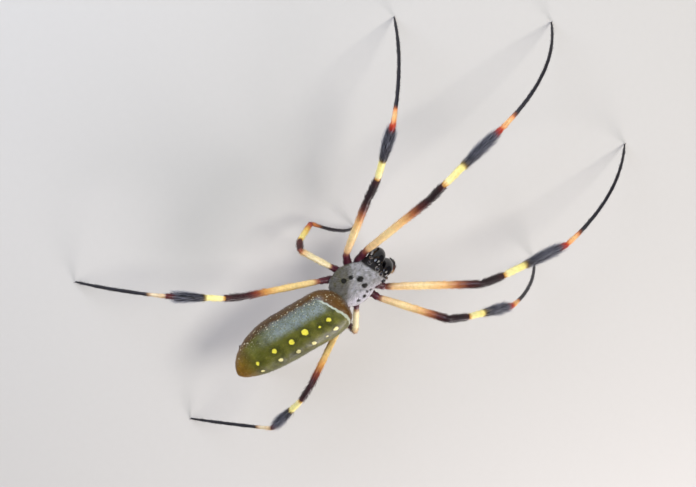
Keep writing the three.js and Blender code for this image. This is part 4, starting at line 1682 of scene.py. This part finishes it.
class CoatTree:
    """Geometry node tree that sets bristles on a skin, along its lie."""

    INPUTS = {
        "Skin": "NodeSocketGeometry",
        "Bristle": "NodeSocketObject",
        "Finish": "NodeSocketMaterial",
        "Mask": "NodeSocketString",
        "Density": FLOAT,
        "Length": FLOAT,
        "Uneven": FLOAT,
        "Lean": FLOAT,
        "Stray": FLOAT,
        "Clump": FLOAT,
        "Clump Size": FLOAT,
        "Seed": "NodeSocketInt",
    }

    def __init__(self) -> None:
        """Builds the tree."""
        self.tree = bpy.data.node_groups.new("bristle_coat", "GeometryNodeTree")
        for label, kind in self.INPUTS.items():
            self.tree.interface.new_socket(label, in_out="INPUT", socket_type=kind)
        self.tree.interface.new_socket("Coat", in_out="OUTPUT", socket_type="NodeSocketGeometry")
        self.graph = Graph(self.tree)
        self.start = self.graph.add("NodeGroupInput")
        points, rotation = self.scatter()
        self.dress(points, rotation)

    def read(self, name: str, kind: str) -> Socket:
        """Attribute of the geometry at hand."""
        node = self.graph.add("GeometryNodeInputNamedAttribute", {"Name": name}, data_type=kind)
        return self.graph.output(node, "Attribute")

    def keep(self, geometry: Socket, name: str, kind: str, value: Socket, domain: str = "POINT") -> Socket:
        """Geometry with one more attribute."""
        node = self.graph.add(
            "GeometryNodeStoreNamedAttribute",
            {"Geometry": geometry, "Name": name},
            data_type=kind,
            domain=domain,
        )
        self.graph.feed(self.graph.input(node, "Value"), value)
        return node.outputs[0]

    def random(self, low: Value, high: Value, kind: str, offset: int) -> Socket:
        """Random value for each point, from the tree's seed and an offset."""
        g = self.graph
        seed = g.plus(self.start.outputs["Seed"], float(offset))
        node = g.add("FunctionNodeRandomValue", {"Min": low, "Max": high, "Seed": seed}, data_type=kind)
        return g.output(node, "Value")

    def scatter(self) -> tuple[Socket, Socket]:
        """Root points on the skin, and the turn of each bristle."""
        g, start = self.graph, self.start.outputs
        per_metre = g.times(start["Density"], 1 / MM**2)
        mask = g.add("GeometryNodeInputNamedAttribute", {"Name": start["Mask"]}, data_type="FLOAT")
        density = g.times(per_metre, g.output(mask, "Attribute"))
        feeds = {"Mesh": start["Skin"], "Density": density, "Seed": start["Seed"]}
        spread = g.add("GeometryNodeDistributePointsOnFaces", feeds)
        points = spread.outputs["Points"]
        points = self.keep(points, "root", "FLOAT_VECTOR", self.read(MAP_NAME, "FLOAT_VECTOR"))
        points = self.keep(points, "tone", "FLOAT", self.random(0.0, 1.0, "FLOAT", 1))
        drop_map = g.add("GeometryNodeRemoveAttribute", {"Geometry": points, "Name": MAP_NAME})
        where = g.add("GeometryNodeInputPosition").outputs[0]
        cell = g.math("DIVIDE", 1 / MM, start["Clump Size"])
        swirl = g.add("ShaderNodeTexNoise", {"Vector": where, "Scale": cell, "Detail": 1.0})
        push = g.vector("SUBTRACT", g.output(swirl, "Color"), (0.5, 0.5, 0.5))
        push = g.vector("MULTIPLY", push, self.spread_vector(start["Clump"]))
        lie = g.vector("ADD", self.read("lie", "FLOAT_VECTOR"), push)
        normal = g.vector("ADD", spread.outputs["Normal"], g.vector("SCALE", push, 0.5))
        axes = g.add(
            "FunctionNodeAxesToRotation",
            {"Primary Axis": normal, "Secondary Axis": lie},
            primary_axis="Z",
            secondary_axis="X",
        )
        low = g.vector("SCALE", (-1.0, -1.0, -1.0), start["Stray"])
        high = g.vector("SCALE", (1.0, 1.0, 1.0), start["Stray"])
        stray = self.random(low, high, "FLOAT_VECTOR", 2)
        lean = g.add("ShaderNodeCombineXYZ", {"Y": start["Lean"]}).outputs[0]
        degrees = g.vector("SCALE", g.vector("ADD", lean, stray), math.pi / 180)
        turn = g.add("FunctionNodeEulerToRotation", {"Euler": degrees})
        feeds = {"Rotation": axes.outputs[0], "Rotate By": turn.outputs[0]}
        rotation = g.add("FunctionNodeRotateRotation", feeds, rotation_space="LOCAL")
        return drop_map.outputs[0], rotation.outputs[0]

    def spread_vector(self, value: Socket) -> Socket:
        """Vector with the same value in each part."""
        return self.graph.add("ShaderNodeCombineXYZ", {"X": value, "Y": value, "Z": value}).outputs[0]

    def dress(self, points: Socket, rotation: Socket) -> None:
        """Sets a bristle on each point and ends in plain mesh with its map.

        Args:
            points: The roots.
            rotation: Turn of each bristle.
        """
        g, start = self.graph, self.start.outputs
        shape = g.add("GeometryNodeObjectInfo", {"Object": start["Bristle"], "As Instance": True})
        low = g.minus(1.0, start["Uneven"])
        high = g.plus(1.0, start["Uneven"])
        vary = self.random(low, high, "FLOAT", 3)
        length = g.times(start["Length"], MM)
        scale = g.times(g.times(length, vary), self.read("reach", "FLOAT"))
        feeds = {
            "Points": points,
            "Instance": g.output(shape, "Geometry"),
            "Rotation": rotation,
            "Scale": self.spread_vector(scale),
        }
        placed = g.add("GeometryNodeInstanceOnPoints", feeds)
        plain = g.add("GeometryNodeRealizeInstances", {"Geometry": placed.outputs[0]}).outputs[0]
        local = g.vector("SUBTRACT", self.read("patch", "FLOAT_VECTOR"), (0.5, 0.5, 0.0))
        local = g.vector("SCALE", local, PATCH)
        spot = g.vector("ADD", self.read("root", "FLOAT_VECTOR"), local)
        mapped = self.keep(plain, MAP_NAME, "FLOAT2", spot, "CORNER")
        for name in ("root", "patch"):
            mapped = g.add("GeometryNodeRemoveAttribute", {"Geometry": mapped, "Name": name}).outputs[0]
        coated = g.add("GeometryNodeSetMaterial", {"Geometry": mapped, "Material": start["Finish"]})
        finish = g.add("NodeGroupOutput")
        g.feed(finish.inputs[0], coated.outputs[0])


@dataclass(frozen=True)
class Coat:
    """One kind of hair: its shape, and how densely and how it lies."""

    bristle: Bristle
    mask: str
    density: float
    length: float
    uneven: float
    lean: float
    stray: float
    clump: float
    clump_size: float

    def grow(
        self,
        name: str,
        tree: CoatTree,
        skin: bpy.types.Mesh,
        material: bpy.types.Material,
        seed: int,
    ) -> bpy.types.Object:
        """Coat piece on a stretch of skin.

        Args:
            name: Name of the piece.
            tree: The node tree.
            skin: Mesh that it grows on.
            material: Its finish.
            seed: Seed of the draw.

        Returns:
            The piece, a plain mesh.
        """
        shape = self.bristle.make(f"{name}_bristle")
        base = placed(f"{name}_base", skin)
        modifier = base.modifiers.new("coat", "NODES")
        modifier.node_group = tree.tree
        labels = {item.name: item.identifier for item in tree.tree.interface.items_tree}
        settings = {"Bristle": shape, "Finish": material, "Seed": seed}
        for item in fields(self)[1:]:
            settings[item.name.replace("_", " ").title()] = getattr(self, item.name)
        for label, value in settings.items():
            modifier[labels[label]] = value
        mesh = finished(base)
        mesh.name = name
        piece = placed(name, mesh)
        bpy.data.objects.remove(base)
        drop(shape)
        LOG.info("coat %s: %d faces", name, len(mesh.polygons))
        return piece


BRUSH = Coat(Bristle(0.075, 0.4, (-0.1, 0.3, 0.66)), "brush", 85.0, 0.5, 0.3, 46.0, 10.0, 0.4, 0.5)
FRINGE = Coat(Bristle(0.032, 0.45, (-0.1, 0.3, 0.66)), "brush", 36.0, 1.3, 0.25, 46.0, 8.0, 0.3, 0.6)
SETAE = Coat(Bristle(0.075, 0.3, (-0.1, 0.5)), "hair", 16.0, 0.42, 0.3, 52.0, 10.0, 0.25, 0.7)
FELT = Coat(Bristle(0.16, 0.25, (-0.1, 0.5), 3, 0.6), "felt", 190.0, 0.32, 0.25, 68.0, 12.0, 0.9, 0.5)
DOWN = Coat(Bristle(0.07, 0.3, (-0.1, 0.5)), "down", 7.0, 0.3, 0.3, 50.0, 12.0, 0.4, 1.2)

COATED_SPAN = (0.6, 5.0)
NEAR_STEPS = 60
NEAR_LEG = 1.0


@dataclass
class Spider:
    """The whole animal: its skin, coats, jaws, eyes and claws."""

    head: Head = field(default_factory=Head)
    abdomen: Abdomen = field(default_factory=Abdomen)
    mouthparts: Mouthparts = field(default_factory=Mouthparts)

    def __post_init__(self) -> None:
        """Adds the legs and the materials."""
        self.legs = [Leg(side, number) for number in PAIRS for side in (LEFT, RIGHT)]
        self.palette = Palette(self.head, self.abdomen)
        self.tree = CoatTree()
        self.materials = {
            region: self.palette.cuticle(
                f"{region.name.lower()}_cuticle", region, BODY_CUTICLE.get(region, LEG_CUTICLE)
            )
            for region in Region
        }
        setae = Bristly(0.42, "#6a564a", 0.15)
        self.hair = {
            region: self.palette.hair(f"{region.name.lower()}_hair", region, setae)
            for region in LEG_STOPS
            if region is not Region.SPINNERET
        }
        # The fringe's pale grey-blue tips are painted backlight, shining through the fine hairs. The
        # brushes' dark tips are their own colour.
        dense, backlit_tips = Bristly(0.4, "#1a1924", 0.5), Bristly(0.4, "#b4b6c6", 0.8)
        brushed = (Region.FRONT_LEG, Region.HIND_LEG)
        self.brush = {r: self.palette.hair(f"{r.name.lower()}_brush", r, dense) for r in brushed}
        self.fringe = {r: self.palette.hair(f"{r.name.lower()}_fringe", r, backlit_tips) for r in brushed}
        self.felt = self.palette.hair("carapace_felt", Region.CARAPACE, Bristly(0.45, "#ebe6ee", 0.3, 0.1))
        self.down = self.palette.hair("abdomen_down", Region.ABDOMEN, Bristly(0.45, "#cfc9a8", 0.35))

    def shells(self) -> list[Shell]:
        """Every closed surface that the skin is joined from, the chest first."""
        made = [self.head.shell(), self.abdomen.shell(), self.abdomen.waist()]
        made += self.abdomen.nozzles()
        made += [leg.shell() for leg in self.legs]
        made += [self.mouthparts.palp(side) for side in (LEFT, RIGHT)]
        made += self.head.mounds()
        made += self.head.mouth()
        return made

    def skin(self) -> bpy.types.Object:
        """One skin over all the flesh."""
        atlas = Atlas()
        shells = self.shells()
        widest_first = sorted(shells, key=lambda shell: -shell.girths().max())
        made = {shell.name: shell.mesh(atlas) for shell in widest_first}
        for piece in made.values():
            for region in Region:
                piece.data.materials.append(self.materials[region])
        chest = made[shells[0].name]
        others = bpy.data.collections.new("flesh")
        for shell in shells[1:]:
            others.objects.link(made[shell.name])
        union = chest.modifiers.new("flesh", "BOOLEAN")
        union.operation = "UNION"
        union.solver = "MANIFOLD"
        union.operand_type = "COLLECTION"
        union.collection = others
        mesh = finished(chest)
        for piece in made.values():
            drop(piece)
        bpy.data.collections.remove(others)
        mesh.name = "skin"
        mesh.polygons.foreach_set("use_smooth", [True] * len(mesh.polygons))
        skin = placed("skin", mesh)
        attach(skin, "root")
        soft = ["cephalothorax", "abdomen", "spinnerets", "palp_left", "palp_right"]
        for leg in self.legs:
            soft += [f"leg_{leg.name}_{length}" for length in ("femur", "tibia", "foot")]
        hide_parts(*soft)
        LOG.info("skin: %d faces from %d shells", len(mesh.polygons), len(made))
        return skin

    def patch_of(self, skin: bpy.types.Object, name: str, mask: np.ndarray) -> bpy.types.Mesh:
        """Copy of the skin whose coat mask is kept only where it is wanted.

        Args:
            skin: The skin.
            name: Name of the coat mask.
            mask: Share to keep at each point.

        Returns:
            The copy.
        """
        mesh = skin.data.copy()
        values = np.zeros(len(mesh.vertices), np.float32)
        mesh.attributes[name].data.foreach_get("value", values)
        mesh.attributes[name].data.foreach_set("value", (values * mask).astype(np.float32))
        return mesh

    def near_leg(self, points: np.ndarray, leg: Leg, low: float, high: float) -> np.ndarray:
        """Whether each point lies close to a stretch of a leg's line.

        Args:
            points: Places in millimetres.
            leg: The leg.
            low: Where the stretch starts along the leg.
            high: Where it ends.

        Returns:
            1 where it does, 0 elsewhere.
        """
        line = leg.line(np.linspace(low, high, NEAR_STEPS))
        nearest = np.full(len(points), np.inf)
        for spot in line:
            nearest = np.minimum(nearest, np.linalg.norm(points - spot, axis=1))
        return (nearest < NEAR_LEG).astype(float)

    def coats(self, skin: bpy.types.Object) -> None:
        """Brushes, short hairs, felt and down on the skin."""
        places = np.zeros(len(skin.data.vertices) * 3)
        skin.data.vertices.foreach_get("co", places)
        places = places.reshape(-1, 3) / MM
        everywhere = np.ones(len(places))
        left_over = everywhere.copy()
        for leg in self.legs:
            region = leg.pair.region
            close = self.near_leg(places, leg, *COATED_SPAN)
            left_over *= 1 - close
            if leg.pair.brush:
                seed = SEED + 10 * leg.number + leg.side
                name, other = f"brush_{leg.name}", f"fringe_{leg.name}"
                self.add_coat(BRUSH, name, skin, close, self.brush[region], seed)
                self.add_coat(FRINGE, other, skin, close, self.fringe[region], seed + 1)
            name, seed = f"hairs_{leg.name}", SEED + 100 * leg.number + leg.side
            self.add_coat(SETAE, name, skin, close, self.hair[region], seed)
        self.add_coat(SETAE, "hairs_body", skin, left_over, self.hair[Region.PALP], SEED)
        self.add_coat(FELT, "felt_carapace", skin, everywhere, self.felt, SEED)
        self.add_coat(DOWN, "down_abdomen", skin, everywhere, self.down, SEED)

    def add_coat(
        self,
        coat: Coat,
        name: str,
        skin: bpy.types.Object,
        mask: np.ndarray,
        material: bpy.types.Material,
        seed: int,
    ) -> None:
        """Grows one coat piece and sets it on the body.

        Args:
            coat: Kind of hair.
            name: Name of the piece.
            skin: The skin.
            mask: Where it may grow, a share for each point.
            material: Its finish.
            seed: Seed of the draw.
        """
        mesh = self.patch_of(skin, coat.mask, mask)
        piece = coat.grow(name, self.tree, mesh, material, seed)
        bpy.data.meshes.remove(mesh)
        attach(piece, "root")

    def hard_parts(self) -> None:
        """Jaws, fangs, eyes and claws."""
        black = self.palette.cuticle("jaw_cuticle", None, JAW_CUTICLE, "#08060a")
        horn = self.palette.cuticle("fang_horn", None, FANG_HORN, "#2a0d09")
        lens = self.palette.cuticle("eye_lens", None, EYE_LENS, "#06050a")
        for side in (LEFT, RIGHT):
            jaw = self.mouthparts.jaw(side)
            self.set_hard(jaw.mesh(), black, [f"jaw_{SIDE_NAMES[side]}"])
            self.set_hard(self.mouthparts.fang(side).mesh(), horn, [])
            for name, eye in self.head.eyes.items():
                centre = self.head.eye_centre(eye, side)
                label = f"{name}_{SIDE_NAMES[side]}"
                shell = ball(f"lens_{label}", centre, np.full(3, eye.radius), Region.PALP, 18, 28)
                self.set_hard(shell.mesh(), lens, [f"eye_{label}"])
        for leg in self.legs:
            claws = joined(f"claws_{leg.name}", leg.claws())
            self.set_hard(claws, horn, [])

    def set_hard(
        self, piece: bpy.types.Object, material: bpy.types.Material, nodes: list[str]
    ) -> None:
        """Gives a hard piece its finish and its place in the frame.

        Args:
            piece: The piece.
            material: Its finish.
            nodes: CAD nodes that it stands for.
        """
        piece.data.materials.append(material)
        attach(piece, "root")
        if nodes:
            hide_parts(*nodes)
        LOG.info("hard piece %s: %d faces", piece.name, len(piece.data.polygons))

    def build(self) -> None:
        """Builds every piece of the spider."""
        skin = self.skin()
        self.coats(skin)
        self.hard_parts()


@dataclass(frozen=True)
class Viewpoint:
    """Camera of the photograph, turned with the spider onto the floor."""

    azimuth: float = 88.6
    elevation: float = 54.0
    roll: float = -214.2
    distance: float = 299.67
    target: tuple[float, float, float] = (-2.29, 4.16, 0.0)
    lens: float = 100.0
    nearest: float = 10.0

    def set(self) -> None:
        """Makes the camera and gives it to the scene."""
        turn, tilt, roll = (math.radians(a) for a in (self.azimuth, self.elevation, self.roll))
        level = math.cos(tilt)
        back = np.array([level * math.sin(turn), -level * math.cos(turn), math.sin(tilt)])
        right = np.array([math.cos(turn), math.sin(turn), 0.0])
        up = np.cross(back, right)
        rolled_right = right * math.cos(roll) + up * math.sin(roll)
        rolled_up = up * math.cos(roll) - right * math.sin(roll)
        data = bpy.data.cameras.new("camera")
        data.lens = self.lens
        data.clip_start = self.nearest * MM
        camera = placed("camera", data)
        place = np.array(self.target) + back * self.distance
        camera.matrix_world = standing(rolled_right, rolled_up, back, place)
        bpy.context.scene.camera = camera


@dataclass(frozen=True)
class SoftLight:
    """Square studio light that faces the spider."""

    name: str
    toward: tuple[float, float, float]
    distance: float
    size: float
    power: float
    color: str

    def set(self) -> None:
        """Makes the light."""
        data = bpy.data.lights.new(self.name, "AREA")
        data.shape = "SQUARE"
        data.size = self.size * MM
        data.energy = self.power
        data.color = paint(self.color)[:3]
        light = placed(self.name, data)
        back = unit(np.array(self.toward))
        side = unit(np.cross(NEARLY_UP, back))
        place = np.array([STANCE.x, STANCE.y, STANCE.height]) + back * self.distance
        light.matrix_world = standing(side, np.cross(back, side), back, place)


LIGHTS = (
    SoftLight("sky", (0.95, 0.05, 0.34), 260.0, 160.0, 0.62, "#dfe8ff"),
    SoftLight("key", (0.1, -0.45, 1.0), 320.0, 150.0, 0.66, "#fffaf2"),
    SoftLight("rim", (-0.9, 0.1, 0.42), 280.0, 140.0, 0.7, "#fff6f8"),
)


@dataclass(frozen=True)
class Studio:
    """Plain pale floor and pale surroundings."""

    floor_half: float = 900.0
    floor_color: str = "#c9c8c4"
    floor_roughness: float = 0.8
    fibre_scale: float = 900.0
    fibre_shade: float = 0.97
    world_color: str = "#dfe3ea"
    world_strength: float = 0.24

    def set(self) -> None:
        """Makes the floor, the lights and the world."""
        half = self.floor_half * MM
        corners = np.array([[-half, -half, 0], [half, -half, 0], [half, half, 0], [-half, half, 0]])
        floor = add_mesh("floor", corners, [(0, 1, 2, 3)])
        material, g, shader = new_material("floor_paper")
        place = g.add("ShaderNodeTexCoord").outputs["Object"]
        tone = g.noise(place, self.fibre_scale, 3.0, 0.6)
        pale = paint(self.floor_color)
        shade = tuple(self.fibre_shade * part for part in pale[:3]) + (1.0,)
        g.feed(shader.inputs["Base Color"], g.blend(tone, shade, pale))
        shader.inputs["Roughness"].default_value = self.floor_roughness
        floor.data.materials.append(material)
        for light in LIGHTS:
            light.set()
        world = bpy.data.worlds.new("studio")
        world.use_nodes = True
        sky = world.node_tree.nodes["Background"]
        sky.inputs["Color"].default_value = paint(self.world_color)
        sky.inputs["Strength"].default_value = self.world_strength
        bpy.context.scene.world = world
        bpy.context.scene.view_settings.view_transform = "Standard"


def main() -> None:
    """Builds the studio and the spider."""
    logging.basicConfig(level=logging.INFO, format="%(message)s")
    Viewpoint().set()
    Studio().set()
    Spider().build()


if __name__ == "__main__":
    main()
